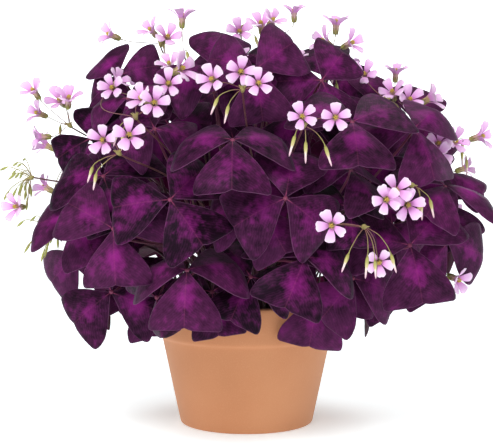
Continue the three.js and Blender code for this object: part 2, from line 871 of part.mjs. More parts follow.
function placeFrontUmbels() {
  const spot = ([across, height, standoff], extra) =>
    seenAt(across, height, frontDepth(across, height, 1) - standoff - extra);
  for (const { at, buds, hang, flowers } of FRONT_UMBELS)
    placeUmbel({
      knotAt: (extra) => spot(at, extra),
      buds,
      hang,
      flowers: flowers.map(([across, height, standoff, yaw, pitch]) => ({
        centreAt: (extra) => spot([across, height, standoff], extra),
        facing: facing(yaw, pitch),
      })),
    });
}

// Umbels behind, evenly round the back half, each with three or four flowers.
function placeBackUmbels() {
  for (let i = 0; i < BACK_UMBELS; i++) {
    const bearing = mix(8, 172, (i + 0.5) / BACK_UMBELS) * RAD;
    const level = [0.15, 0.62][i % 2] + draw(-0.08, 0.08);
    const ring = sqrt(1 - level * level);
    const out = 1.13;
    const knot = V(
      CANOPY.x + out * CANOPY.rx * ring * cos(bearing),
      CANOPY.y + out * CANOPY.ry * ring * sin(bearing),
      CANOPY.z + out * CANOPY.rz * level,
    );
    const outward = outwards(knot);
    const [across, upslope] = planeAxes(outward);
    const flowers = Array.from({ length: 3 }, (_, n) => {
      const angle = (30 + 120 * n + draw(-15, 15)) * RAD;
      const reach = draw(17, 25);
      const centre = knot
        .clone()
        .addScaledVector(across, reach * cos(angle))
        .addScaledVector(upslope, reach * sin(angle))
        .addScaledVector(outward, draw(12, 20));
      const way = outward.clone().addScaledVector(across, 0.3 * cos(angle));
      way.addScaledVector(UP, 0.2).normalize();
      return { centreAt: (extra) => centre.clone().addScaledVector(way, extra), facing: way };
    });
    placeUmbel({ knotAt: () => knot, flowers, buds: 1, hang: 270 });
  }
}

placeFrontUmbels();
placeBackUmbels();
placeFrontLeaves();
placeFillLeaves();
placeScreenLeaves();
const grownCrowns = crowns.filter((crown) => crown.leaves.length);

// ---------------------------------------------------------------- solids

// A closed solid from a geometry whose faces point out.
function solid(geometry) {
  geometry.deleteAttribute("normal");
  geometry.deleteAttribute("uv");
  const merged = mergeVertices(geometry, 1e-4);
  const vertProperties = new Float32Array(merged.attributes.position.array);
  const triVerts = new Uint32Array(merged.index.array);
  return new wasm.Manifold(new wasm.Mesh({ numProp: 3, vertProperties, triVerts }));
}

function geometryOf(body) {
  const { numProp, vertProperties, triVerts } = body.getMesh();
  const geometry = new THREE.BufferGeometry();
  const count = vertProperties.length / numProp;
  const position = new Float32Array(count * 3);
  for (let i = 0; i < count; i++)
    position.set(vertProperties.subarray(i * numProp, i * numProp + 3), i * 3);
  geometry.setAttribute("position", new THREE.BufferAttribute(position, 3));
  geometry.setIndex(new THREE.BufferAttribute(triVerts, 1));
  geometry.computeVertexNormals();
  return geometry;
}

const join = (bodies) => bodies.reduce((whole, body) => whole.add(body));

// A solid from points and triangles of point numbers.
function facets(points, triangles) {
  const geometry = new THREE.BufferGeometry().setFromPoints(points);
  geometry.setIndex(triangles.flat());
  return solid(geometry);
}

function turned(profile, sides) {
  const outline = profile.map(([r, z]) => new THREE.Vector2(r, z));
  return new THREE.LatheGeometry(outline, sides).rotateX(PI / 2);
}

// The ways that a stem runs at its points: halfway between the stretches that meet there. It
// starts and ends in the given ways.
function stemWays(points, first, last) {
  const stretch = (i) => points[i + 1].clone().sub(points[i]).normalize();
  return points.map((_, i) => {
    if (i === 0) return first;
    if (i === points.length - 1) return last;
    return stretch(i - 1).add(stretch(i));
  });
}

// Three-sided rings round points, each square to its way. The first ring's corner 0 points
// along start, and the rings don't twist.
function stemRings(points, ways, radii, start) {
  const u = start.clone();
  return points.map((point, i) => {
    const way = ways[i].clone().normalize();
    u.addScaledVector(way, -u.dot(way)).normalize();
    const v = way.clone().cross(u);
    return [0, 1, 2].map((corner) => {
      const angle = (2 * PI * corner) / 3;
      return point
        .clone()
        .addScaledVector(u, radii[i] * cos(angle))
        .addScaledVector(v, radii[i] * sin(angle));
    });
  });
}

const ringsFromTip = (points, ways, radii, start) =>
  stemRings([...points].reverse(), [...ways].reverse(), [...radii].reverse(), start).reverse();

// The walls of a stem whose rings are numbered from first on, with the end that it starts from.
function stemWalls(first, rings) {
  const walls = [[first, first + 2, first + 1]];
  for (let ring = 0; ring < rings - 1; ring++)
    for (let i = 0; i < 3; i++) {
      const a = first + 3 * ring;
      const b = a + 3;
      const next = (i + 1) % 3;
      walls.push([a + i, a + next, b + i], [b + i, a + next, b + next]);
    }
  return walls;
}

// The way that a curve runs, t of the way along it.
function slope([a, b, c, d], t) {
  const u = 1 - t;
  return V(0, 0, 0)
    .addScaledVector(b.clone().sub(a), u * u)
    .addScaledVector(c.clone().sub(b), 2 * u * t)
    .addScaledVector(d.clone().sub(c), t * t);
}

// ---------------------------------------------------------------- pot and soil

const innerRadius = (z) =>
  mix(POT.footRadius - POT.wall + 2, POT.rimRadius - POT.wall, (z - POT.floor) / (POT.height - POT.floor));

function makePot() {
  const { height, footRadius, neckRadius, rimRadius, drainRadius, floor } = POT;
  const neck = height - POT.collarHeight;
  return turned(
    [
      [drainRadius, 0],
      [footRadius - 1.4, 0],
      [footRadius, 1.4],
      [neckRadius, neck - 1],
      [neckRadius + POT.collarLip, neck + 0.6],
      [rimRadius - 0.2, height - 2],
      [rimRadius - 1.6, height],
      [rimRadius - POT.wall + 1.2, height],
      [rimRadius - POT.wall, height - 1.4],
      [innerRadius(floor), floor],
      [drainRadius, floor],
      [drainRadius, 0],
    ],
    POT.sides,
  );
}

// A prism of the crowns' or flower stalks' section, from depth to height about the soil.
function peg(place, rings, sides) {
  const geometry = turned([[0, rings[0][1]], ...rings, [0, rings.at(-1)[1]]], sides);
  return solid(geometry.translate(place.x, place.y, soilHeight(place.x, place.y)));
}

const crownRings = (gap) => [
  [CROWN.radius - 0.7 + gap, -CROWN.depth - gap],
  [CROWN.radius + gap, gap ? 9 : 0.8],
  ...(gap ? [] : [[CROWN.tipRadius, CROWN.above]]),
];
const footRings = (gap) => [
  [SCAPE_FOOT.radius + gap, -SCAPE_FOOT.depth - gap],
  [SCAPE_FOOT.radius + gap, 9],
];

function makeSoil() {
  const bottom = POT.floor + GAP;
  const edge = SOIL.top;
  const wide = innerRadius(edge) - GAP;
  const geometry = turned(
    [
      [0, bottom],
      [innerRadius(bottom) - GAP, bottom],
      [wide, edge],
      [wide * 0.52, edge + 1],
      [0, edge + 1],
    ],
    SOIL.sides,
  );
  const position = geometry.attributes.position;
  for (let i = 0; i < position.count; i++)
    if (position.getZ(i) > edge + 0.5)
      position.setZ(i, soilHeight(position.getX(i), position.getY(i)));
  const holes = [
    ...grownCrowns.map((crown) => peg(crown.place, crownRings(GAP), CROWN.sides)),
    ...umbels.map((umbel) => peg(umbel.site, footRings(2 * GAP), 3)),
  ];
  return holes.reduce((body, hole) => body.subtract(hole), solid(geometry));
}

// ---------------------------------------------------------------- leaf solids

// A leaf on its stalk: three notched, two-lobed leaflets round the hub, in one thin sheet that
// is split into triangles alike above and below. The stalk's last ring opens into the blade's
// underside, with a corner at each notch between the leaflets.
function makeLeaf(leaf) {
  const top = [leaf.hub.clone()];
  const [across, upslope] = leaf.axes;
  for (let k = 0; k < 3; k++) {
    const angle = leaf.spin + ((2 * k + 1) * PI) / 3;
    top.push(
      leaf.hub
        .clone()
        .addScaledVector(across, LEAF.hubRadius * cos(angle))
        .addScaledVector(upslope, LEAF.hubRadius * sin(angle))
        .addScaledVector(leaf.normal, -0.25),
    );
  }
  const outline = [
    [1, -0.93],
    [1, -0.56],
    [1, 0],
    [1, 0.56],
    [1, 0.93],
  ];
  for (let k = 0; k < 3; k++) for (const [s, t] of outline) top.push(leafPoint(leaf, k, s, t));

  const sheet = [];
  const edge = [];
  for (let k = 0; k < 3; k++) {
    const before = k === 0 ? 3 : k;
    const after = k + 1;
    const [b1, a1, n, a2, b2] = [0, 1, 2, 3, 4].map((i) => 4 + 5 * k + i);
    sheet.push([0, before, b1], [0, b1, a1], [0, a1, n]);
    sheet.push([0, n, a2], [0, a2, b2], [0, b2, after]);
    edge.push([before, b1], [b1, a1], [a1, n], [n, a2], [a2, b2], [b2, after]);
  }
  const normals = top.map(() => V(0, 0, 0));
  for (const [a, b, c] of sheet) {
    const face = top[b].clone().sub(top[a]).cross(top[c].clone().sub(top[a]));
    for (const corner of [a, b, c]) normals[corner].add(face);
  }
  const bottom = top.map((p, i) => p.clone().addScaledVector(normals[i].normalize(), -LEAF.thickness));
  const under = top.length;
  const points = STALK_STEPS.map((t) => (t === 1 ? bottom[0] : bezier(...leaf.stalk, t)));
  const ways = stemWays(points, UP, leaf.normal);
  const radii = points.map((_, i) => LEAF.stalkRadius * (i ? 1 : 0.85));
  const rings = ringsFromTip(points, ways, radii, top[1].clone().sub(top[0]));
  const stalk = 2 * top.length;
  const mouth = stalk + 3 * (rings.length - 1);
  const triangles = [...sheet, ...stemWalls(stalk, rings.length)];
  for (let k = 0; k < 3; k++) {
    const ringBefore = mouth + ((k + 2) % 3);
    const ringAfter = mouth + k;
    const before = under + (k === 0 ? 3 : k);
    const after = under + k + 1;
    const [b1, a1, n, a2, b2] = [0, 1, 2, 3, 4].map((i) => under + 4 + 5 * k + i);
    triangles.push([before, ringBefore, b1], [b1, ringBefore, a1], [a1, ringBefore, n]);
    triangles.push([ringBefore, ringAfter, n]);
    triangles.push([n, ringAfter, a2], [a2, ringAfter, b2], [b2, ringAfter, after]);
  }
  for (const [a, b] of edge)
    triangles.push([a, a + under, b], [b, a + under, b + under]);
  return facets([...top, ...bottom, ...rings.flat()], triangles);
}

function makeLeafBunch(crown) {
  return join([peg(crown.place, crownRings(0), CROWN.sides), ...crown.leaves.map(makeLeaf)]);
}

// ---------------------------------------------------------------- umbel solids

// The knot at a flower stalk's tip: distance along the stalk's end, and radius.
const KNOT = [
  [-2.6, 1.15],
  [0, 3],
  [1.8, 2],
];

// A pedicel's rings, from the knot to its flower or bud, which faces along way.
function pedicelRings(curve, steps, endRadius, way, start) {
  const points = steps.map((t) => bezier(...curve, t));
  const first = points[1].clone().sub(points[0]);
  const last = points.at(-1).clone().sub(points.at(-2)).normalize().add(way);
  const radii = steps.map((t) => (t === 1 ? endRadius : mix(0.7, 1, t) * FLOWER.pedicelRadius));
  return ringsFromTip(points, stemWays(points, first, last), radii, start);
}

// A flower on its pedicel: five petals round the mouth of a solid funnel.
function makeFlower({ centre, facing: way, axes, spin, size, pedicel, steps }) {
  const [across, upslope] = axes;
  const at = (radius, angle, w) =>
    centre
      .clone()
      .addScaledVector(across, radius * size * cos(angle))
      .addScaledVector(upslope, radius * size * sin(angle))
      .addScaledVector(way, w * size);
  const points = [at(0, 0, -FLOWER.throatDepth)];
  for (let i = 0; i < 5; i++) {
    const angle = spin + (i * 2 * PI) / 5;
    for (const back of [0, FLOWER.petalThickness])
      points.push(
        at(FLOWER.notchRadius, angle - PI / 5, -back),
        at(FLOWER.radius, angle, FLOWER.lift - back),
      );
  }
  const start = points[3].clone().sub(centre);
  const rings = pedicelRings(pedicel, steps, 0.9, way, start);
  const first = points.length;
  const neck = first + 3 * (rings.length - 1);
  const triangles = stemWalls(first, rings.length);
  const back = [0, 1, 2, 3, 4].map((i) => 3 + 4 * i);
  for (let i = 0; i < 5; i++) {
    const [notch, tip, notchBack, tipBack] = [0, 1, 2, 3].map((n) => 1 + 4 * i + n);
    const next = 1 + 4 * ((i + 1) % 5);
    const nextBack = next + 2;
    triangles.push([0, notch, next], [notch, tip, next], [notchBack, nextBack, tipBack]);
    triangles.push([notch, notchBack, tip], [tip, notchBack, tipBack]);
    triangles.push([tip, tipBack, next], [next, tipBack, nextBack]);
    triangles.push([back[i], neck + [0, 1, 1, 2, 2][i], back[(i + 1) % 5]]);
  }
  for (const [from, rim] of [[0, 1], [1, 3], [2, 0]])
    triangles.push([neck + from, neck + ((from + 1) % 3), back[rim]]);
  return facets([...points, ...rings.flat()], triangles);
}

// A bud on its pedicel: a three-sided spindle.
function makeBud({ base, way, length, pedicel, steps }) {
  const start = planeAxes(way)[0];
  const shares = [0.22, 0.62];
  const swell = stemRings(
    shares.map((share) => base.clone().addScaledVector(way, share * length)),
    shares.map(() => way),
    shares.map(() => BUD.radius * 1.15),
    start,
  );
  const rings = [...pedicelRings(pedicel, steps, FLOWER.pedicelRadius, way, start), ...swell];
  const tip = 3 * rings.length;
  const last = tip - 3;
  const triangles = stemWalls(0, rings.length);
  for (let i = 0; i < 3; i++) triangles.push([last + i, last + ((i + 1) % 3), tip]);
  return facets([...rings.flat(), base.clone().addScaledVector(way, length)], triangles);
}

function makeScape({ site, scape }) {
  const ground = soilHeight(site.x, site.y);
  const foot = V(site.x, site.y, ground - SCAPE_FOOT.depth);
  const neck = V(site.x, site.y, ground + 1);
  const axis = slope(scape, 1).normalize();
  const points = [
    foot,
    neck,
    ...SCAPE_STEPS.map((t) => bezier(...scape, t)),
    ...KNOT.map(([w]) => scape[3].clone().addScaledVector(axis, w)),
  ];
  const ways = stemWays(points, UP, axis);
  const radii = [
    SCAPE_FOOT.radius,
    SCAPE_FOOT.radius,
    ...SCAPE_STEPS.map(() => FLOWER.scapeRadius),
    ...KNOT.map(([, radius]) => radius),
  ];
  const rings = stemRings(points, ways, radii, V(0, -1, 0));
  const last = 3 * (rings.length - 1);
  return facets(rings.flat(), [...stemWalls(0, rings.length), [last, last + 1, last + 2]]);
}

function makeUmbel(umbel) {
  return join([makeScape(umbel), ...umbel.flowers.map(makeFlower), ...umbel.buds.map(makeBud)]);
}

// ---------------------------------------------------------------- the whole plant

const MATERIALS = {
  terracotta: new THREE.MeshStandardMaterial({ color: "#c98a66", roughness: 0.86, metalness: 0 }),
  soil: new THREE.MeshStandardMaterial({ color: "#3a2a20", roughness: 0.95, metalness: 0 }),
  leaf: new THREE.MeshStandardMaterial({ color: "#4a2140", roughness: 0.55, metalness: 0 }),
  flower: new THREE.MeshStandardMaterial({ color: "#dcb9d6", roughness: 0.6, metalness: 0 }),
};

const plant = new THREE.Group();

function addPiece(name, geometry, material) {
  const mesh = new THREE.Mesh(geometry, material);
  mesh.name = name;
  plant.add(mesh);
}

const numbered = (name, i) => `${name}_${String(i + 1).padStart(2, "0")}`;

addPiece("pot", makePot(), MATERIALS.terracotta);
addPiece("soil", geometryOf(makeSoil()), MATERIALS.soil);
grownCrowns.forEach((crown, i) =>
  addPiece(numbered("leaf_bunch", i), geometryOf(makeLeafBunch(crown)), MATERIALS.leaf),
);
umbels.forEach((umbel, i) =>
  addPiece(numbered("flower_umbel", i), geometryOf(makeUmbel(umbel)), MATERIALS.flower),
);

export default plant;
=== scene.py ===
import math

import bpy
import numpy as np
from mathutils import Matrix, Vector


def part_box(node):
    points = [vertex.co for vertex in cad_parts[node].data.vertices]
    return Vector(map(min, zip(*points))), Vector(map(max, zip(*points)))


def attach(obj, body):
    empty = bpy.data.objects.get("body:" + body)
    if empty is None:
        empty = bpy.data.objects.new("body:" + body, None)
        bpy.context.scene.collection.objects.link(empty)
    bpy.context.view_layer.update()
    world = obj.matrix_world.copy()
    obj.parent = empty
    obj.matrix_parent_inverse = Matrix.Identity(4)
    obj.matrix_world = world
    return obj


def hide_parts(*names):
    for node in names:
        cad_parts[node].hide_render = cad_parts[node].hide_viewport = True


# The looks of a purple shamrock (Oxalis triangularis) in its terracotta pot, built round the
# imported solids. Every leaf, flower, bud and stalk is read from the solid that it stands for, and
# is drawn again there with its rounded outline, its veins and its thin stems.
#
# Lengths are in millimetres until a mesh is made, which turns them to metres.

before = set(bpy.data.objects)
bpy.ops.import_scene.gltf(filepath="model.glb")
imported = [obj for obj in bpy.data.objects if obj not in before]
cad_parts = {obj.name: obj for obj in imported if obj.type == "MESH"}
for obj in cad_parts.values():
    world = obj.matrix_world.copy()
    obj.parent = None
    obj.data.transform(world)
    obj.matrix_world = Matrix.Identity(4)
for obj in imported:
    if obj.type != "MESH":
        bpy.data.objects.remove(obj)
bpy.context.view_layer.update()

MM = 0.001
RANDOM = np.random.default_rng(11)

# ---------------------------------------- sizes

# The solid leaf's own values, by which its shape is read.
LEAF_HALF_SPREAD = math.radians(42)
LEAF_SIDE = 0.93  # where the solid's outer corner is, from the midrib (0) to the side (1)
LEAF_FAN = 18  # faces that meet at a leaf's hub: six for each leaflet
SHORTEST_LEAFLET = 15

# The solid flower's own values.
PETALS = 5
NOTCH_RADIUS = 5.6
NOTCH_LIMITS = (4.5, 7)
TUBE_LENGTH = 11
BUD_TIP_LIMITS = (3.5, 7)  # how far a bud's tip is from where it is widest
LONGEST_BUD = 16

LEAFLET_ROWS = 12
LEAFLET_COLUMNS = 28
LEAF_START = 0.03  # where the blade starts at the hub, as a share of its length
LEAF_THICKNESS = 0.45
LEAF_GROWTH = 1.03  # the rounded leaflets reach this much farther than the solids' corners
SIDE_BULGE = 0.08  # the sides curve outwards halfway along
LEAF_RIPPLE = 0.7  # how far a blade's margin waves
RIB_RIPPLE = 0.28  # how far its lobes wave on the way out
LOBE_DOME = 1.1  # how far each lobe bulges
MIDRIB_WIDTH = 1.6
BLOTCH_PLACE = (0.40, 0.50)  # how far out the magenta blotch lies, as a share of the length
BLOTCH_REACH = (0.27, 0.26)  # its half length and half width, likewise
BLOTCH_STRENGTH = (0.5, 1.0)
STALK_RADIUS = (1.25, 0.75)  # at the crown and under the leaf
STALK_SIDES = 8
CROWN = {"radius": 6.1, "length": 15, "tip": 2.6, "rings": 12, "sides": 20}  # tip: out of the soil

PETAL_ROWS = 10
PETAL_COLUMNS = 10
PETAL_THICKNESS = 0.25
SEPAL_THICKNESS = 0.3
SEPAL_LENGTH = 5.2
SEPAL_HALF_WIDTH = 0.95
SCAPE_RADIUS = (0.8, 0.5)
SCAPE_SIDES = 10
PEDICEL_RADIUS = 0.29
PEDICEL_END_RADIUS = 0.6  # where it widens into its flower or bud
PEDICEL_SIDES = 6
BUD_RADIUS = 1.12
BUD_SIDES = 10
BUD_RIBS = 0.05
POD_RADIUS = 0.85
POD_LENGTH = 0.85  # as a share of the solid bud's
POD_SPREAD = 1.1  # how much a pod points outwards, against 1 downwards
EXTRA_PODS = 4  # thin pods added beside each that a solid has
SEEDING_BUDS = 3  # an umbel with this many buds and at most one flower has gone to seed

POT = {
    "height": 90,
    "foot": 48,
    "neck": 61.5,
    "rim": 67,
    "collar": 26,
    "lip": 1.6,
    "wall": 6.5,
    "floor": 9,
    "drain": 8,
}
POT_SIDES = 144
SOIL_TOP = 78
SOIL_MOUND = 5
SOIL_LUMP = 1.6
SOIL_RINGS = 44
SOIL_SIDES = 132
CRUMB_RELIEF = 0.55  # how far crumbs rise and sink, as a standard deviation

# ---------------------------------------- camera, lights and floor

# These are in metres.
EYE = (0, -1.0, 0.215)
AIM = (0, 0, 0.1437)
LAMP_AIM = (0, 0, 0.16)
FLOOR_RINGS = (0.3, 1.0, 3.0, 8.0)
FLOOR_BEND = 1
FLOOR_WALL = 2.6
FLOOR_SIDES = 96

# These are in millimetres, as a camera takes them.
LENS = 101.6
SENSOR = 36


def aim(thing, target):
    """Turns a camera or a lamp towards a point."""
    way = np.array(target) - np.array(thing.location)
    thing.rotation_euler = (
        math.atan2(math.hypot(way[0], way[1]), -way[2]),
        0,
        math.atan2(way[1], way[0]) - math.pi / 2,
    )


def add_object(name, data):
    """Adds an object to the scene."""
    made = bpy.data.objects.new(name, data)
    bpy.context.scene.collection.objects.link(made)
    return made


def add_camera():
    """A long lens that looks at the plant from its front."""
    lens = bpy.data.cameras.new("camera")
    lens.lens = LENS
    lens.sensor_width = SENSOR
    camera = add_object("camera", lens)
    camera.location = EYE
    aim(camera, AIM)
    bpy.context.scene.camera = camera


def add_lamp(name, place, width, power):
    """A soft square lamp that faces the plant."""
    light = bpy.data.lights.new(name, "AREA")
    light.size = width
    light.energy = power
    lamp = add_object(name, light)
    lamp.location = place
    aim(lamp, LAMP_AIM)


def add_studio():
    """A wide lamp above the plant's front, a weaker one behind it and one beside it, and faint
    white light from all round."""
    add_lamp("key_lamp", (-0.55, -1.35, 1.5), 0.9, 32)
    add_lamp("top_lamp", (0.3, 0.5, 1.6), 1.2, 8)
    add_lamp("fill_lamp", (1.3, -0.9, 0.7), 1.0, 1.5)
    world = bpy.data.worlds.new("studio_world")
    world.use_nodes = True
    background = world.node_tree.nodes["Background"]
    background.inputs["Color"].default_value = linear("#ffffff")
    background.inputs["Strength"].default_value = 0.06
    bpy.context.scene.world = world
    bpy.context.scene.view_settings.view_transform = "Standard"


# ---------------------------------------- reading the solids


class Solid:
    """The corners of a solid in millimetres, each once, with each corner's neighbours, and the
    other two corners of each face round it."""

    def __init__(self, node):
        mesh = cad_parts[node].data
        corners = np.zeros(len(mesh.vertices) * 3, np.float32)
        mesh.vertices.foreach_get("co", corners)
        corners = corners.reshape(-1, 3).astype(float) / MM
        key = np.round(corners, 3)
        _, first, number = np.unique(key, axis=0, return_index=True, return_inverse=True)
        number = number.reshape(-1)
        self.points = corners[first]
        self.beside = [set() for _ in self.points]
        self.around = [[] for _ in self.points]
        for face in mesh.polygons:
            a, b, c = (int(number[i]) for i in face.vertices)
            for corner, following, last in ((a, b, c), (b, c, a), (c, a, b)):
                self.beside[corner].update((following, last))
                self.around[corner].append((following, last))

    def ring_about(self, corner):
        """The corners round one, in order, anticlockwise from outside."""
        following = dict(self.around[corner])
        start = min(following)
        ring = [start]
        while following[ring[-1]] != start:
            ring.append(following[ring[-1]])
        return ring

    def rings_from(self, start, seen, most):
        """The three-cornered rings that a stem steps through from a first one, and then the
        corners where it ends in something else."""
        rings = [list(start)]
        seen = set(seen) | set(start)
        while len(rings) < most:
            beyond = {n for corner in rings[-1] for n in self.beside[corner]} - seen
            if not beyond:
                break
            rings.append(sorted(beyond))
            seen |= beyond
            if len(beyond) != 3:
                break
        return [self.points[ring].mean(0) for ring in rings]


def unit(vector):
    """The same way, one long."""
    return vector / np.linalg.norm(vector)


def mix(a, b, share):
    """From a to b, by a share."""
    return a + (b - a) * share


def lobe_edge(u):
    """How far a leaflet's outer edge lies from the hub, u of the way from its midrib to its
    side, as a share of its length."""
    straight = 0.87 / np.cos(u * LEAF_HALF_SPREAD)
    notch = 0.07 * np.exp(-((u / 0.15) ** 2))
    corner = 0.34 * np.maximum(0, (u - 0.62) / 0.38) ** 2
    return straight + 0.05 * np.sin(np.pi * u) - notch - corner


def fine_edge(u):
    """The same edge with a shallower notch and a crisper corner."""
    straight = 0.87 / np.cos(u * LEAF_HALF_SPREAD)
    notch = 0.03 * np.exp(-((u / 0.1) ** 2))
    corner = 0.38 * np.maximum(0, (u - 0.75) / 0.25) ** 1.7
    return straight + 0.025 * np.cos(np.pi * u / 2) + 0.01 * np.sin(np.pi * u) - notch - corner


def read_leaflet(hub, normal, left, middle, right):
    """A leaflet's length, heading, side, slope, bend and fold from three of its outer corners."""
    tip = middle - hub
    heading = unit(tip - tip.dot(normal) * normal)
    side = np.cross(normal, heading)
    length = np.linalg.norm(tip) / lobe_edge(0.0)
    tip_slope = math.atan2(tip.dot(normal), tip.dot(heading))
    reach = length * lobe_edge(LEAF_SIDE)
    across = reach * math.sin(LEAF_SIDE * LEAF_HALF_SPREAD)
    out = reach * math.cos(LEAF_SIDE * LEAF_HALF_SPREAD)
    fold = math.acos(min(1, (right - left).dot(side) / (2 * across)))
    corner = (left + right) / 2 - hub
    corner_slope = math.atan2(corner.dot(normal), corner.dot(heading))
    corner_slope += math.atan2(across * math.sin(fold), out)
    bend = (corner_slope - tip_slope) / (lobe_edge(0.0) / 2 - out / length / 2)
    return {
        "length": length,
        "heading": heading,
        "side": side,
        "slope": tip_slope + bend * lobe_edge(0.0) / 2,
        "bend": bend,
        "fold": fold,
    }


def read_leaf(solid, corner):
    """The leaf whose hub is at a corner: its hub, its three leaflets, and its stalk's line from
    the leaf down to the crown."""
    ring = solid.ring_about(corner)
    hub = solid.points[corner]
    reach = np.linalg.norm(solid.points[ring] - hub, axis=1)
    start = int(np.argmin(reach))
    ring = ring[start:] + ring[:start]
    inner = solid.points[[ring[0], ring[6], ring[12]]]
    normal = unit(np.cross(inner[1] - inner[0], inner[2] - inner[0]))
    leaflets = []
    for k in range(3):
        left, _, middle, _, right = solid.points[ring[6 * k + 1 : 6 * k + 6]]
        leaflets.append(read_leaflet(hub, normal, left, middle, right))
    blade = set(ring) | {corner}
    under = {n for outer in blade for n in solid.beside[outer]} - blade
    behind = {n for outer in under for n in solid.beside[outer]} - blade - under
    stalk = solid.rings_from(behind, blade | under, 4)
    return {"hub": hub, "normal": normal, "leaflets": leaflets, "stalk": stalk}


def read_flower(solid, corner):
    """The flower whose throat is at a corner, or None when that is no throat."""
    if len(solid.around[corner]) != PETALS:
        return None
    notches = solid.ring_about(corner)
    rim = solid.points[notches]
    centre = rim.mean(0)
    radii = np.linalg.norm(rim - centre, axis=1)
    least, most = NOTCH_LIMITS
    if not least < radii.min() <= radii.max() < most or np.ptp(radii) > 0.05:
        return None
    throat = solid.points[corner]
    facing = unit(centre - throat)
    tips = []
    for i in range(PETALS):
        shared = solid.beside[notches[i]] & solid.beside[notches[(i + 1) % PETALS]]
        tips.extend(shared - {corner} - set(notches))
    if len(tips) != PETALS:
        return None
    front = {corner, *notches, *tips}
    back = {n for outer in front for n in solid.beside[outer]} - front
    neck = {n for outer in back for n in solid.beside[outer]} - back - front
    size = radii.mean() / NOTCH_RADIUS
    ways = [unit(solid.points[tip] - centre) for tip in tips]
    ways = [unit(way - way.dot(facing) * facing) for way in ways]
    pedicel = solid.rings_from(neck, front | back, 3)
    return {"centre": centre, "facing": facing, "size": size, "ways": ways, "pedicel": pedicel}


def read_bud(solid, corner):
    """The bud whose tip is at a corner, or None when that is no bud's tip."""
    if len(solid.around[corner]) != 3:
        return None
    tip = solid.points[corner]
    rings = solid.rings_from(solid.beside[corner], {corner}, 5)
    if len(rings) < 4:
        return None
    widest, base = rings[0], rings[2]
    least, most = BUD_TIP_LIMITS
    if not least < np.linalg.norm(tip - widest) < most:
        return None
    if np.linalg.norm(tip - base) > LONGEST_BUD:
        return None
    return {"base": base, "tip": tip, "pedicel": rings[2:]}


def read_scape(solid):
    """The line of a flower stalk from its foot in the soil to its knot."""
    foot = np.argsort(solid.points[:, 2])[:3]
    return solid.rings_from([int(i) for i in foot], set(), 8)


# ---------------------------------------- making meshes


class Piece:
    """One mesh in the making: points, faces, the finish of each face, and at each point a map
    in millimetres, a blush and a tint that the finishes read."""

    def __init__(self):
        self.points, self.faces, self.finishes = [], [], []
        self.maps, self.blush, self.tints = [], [], []
        self.count = 0

    def add(self, points, faces, finish, places=None, blush=0.0, tint=0.5):
        """Adds points and faces, with one finish for all faces or one for each."""
        points = np.asarray(points, float).reshape(-1, 3)
        amount = len(points)
        self.points.append(points)
        self.faces.extend([tuple(i + self.count for i in face) for face in faces])
        self.finishes.extend([finish] * len(faces) if isinstance(finish, int) else finish)
        self.maps.append(np.zeros((amount, 3)) if places is None else places.reshape(-1, 3))
        self.blush.append(np.broadcast_to(np.ravel(blush), (amount,)))
        self.tints.append(np.full(amount, tint))
        self.count += amount

    def finish(self, name, materials, node, slot):
        """Makes the object, which stands for a solid."""
        mesh = bpy.data.meshes.new(name)
        mesh.from_pydata((np.concatenate(self.points) * MM).tolist(), [], self.faces)
        for material in materials:
            mesh.materials.append(material)
        mesh.polygons.foreach_set("material_index", self.finishes)
        mesh.polygons.foreach_set("use_smooth", [True] * len(self.faces))
        places = mesh.attributes.new("place_mm", "FLOAT_VECTOR", "POINT")
        places.data.foreach_set("vector", np.concatenate(self.maps).astype(np.float32).ravel())
        for key, values in (("blush", self.blush), ("tint", self.tints)):
            layer = mesh.attributes.new(key, "FLOAT", "POINT")
            layer.data.foreach_set("value", np.concatenate(values).astype(np.float32))
        mesh.update()
        piece = add_object(name, mesh)
        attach(piece, "root")
        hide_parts(node)


def ring_faces(rings, sides, flip=False):
    """The quads between neighbouring rings of points, which are numbered ring by ring."""
    faces = []
    for ring in range(rings - 1):
        for i in range(sides):
            a, b = ring * sides + i, ring * sides + (i + 1) % sides
            faces.append((a, a + sides, b + sides, b) if flip else (a, b, b + sides, a + sides))
    return faces


def grid_faces(rows, columns, start=0, flip=False):
    """The quads of a grid of points whose corners are numbered row by row."""
    faces = []
    for row in range(rows - 1):
        for column in range(columns - 1):
            a = start + row * columns + column
            face = (a, a + 1, a + columns + 1, a + columns)
            faces.append(face[::-1] if flip else face)
    return faces


def thin_sheet(grid, thickness, facing):
    """Points and faces of a closed thin sheet whose upper face is a grid of points. Says also
    how many of its faces are above, below and round the edge."""
    rows, columns, _ = grid.shape
    along, across = np.gradient(grid, axis=0), np.gradient(grid, axis=1)
    normals = np.cross(across, along)
    normals /= np.linalg.norm(normals, axis=2, keepdims=True) + 1e-12
    flip = (normals.sum((0, 1)) @ facing) < 0
    if flip:
        normals = -normals
    amount = rows * columns
    points = np.concatenate([grid.reshape(-1, 3), (grid - thickness * normals).reshape(-1, 3)])
    above = grid_faces(rows, columns, 0, flip)
    below = grid_faces(rows, columns, amount, not flip)
    rim = list(range(columns))
    rim += [row * columns + columns - 1 for row in range(1, rows)]
    rim += [(rows - 1) * columns + column for column in range(columns - 2, -1, -1)]
    rim += [row * columns for row in range(rows - 2, 0, -1)]
    edge = []
    for a, b in zip(rim, rim[1:] + rim[:1]):
        face = (a, a + amount, b + amount, b)
        edge.append(face[::-1] if flip else face)
    return points, above, below, edge


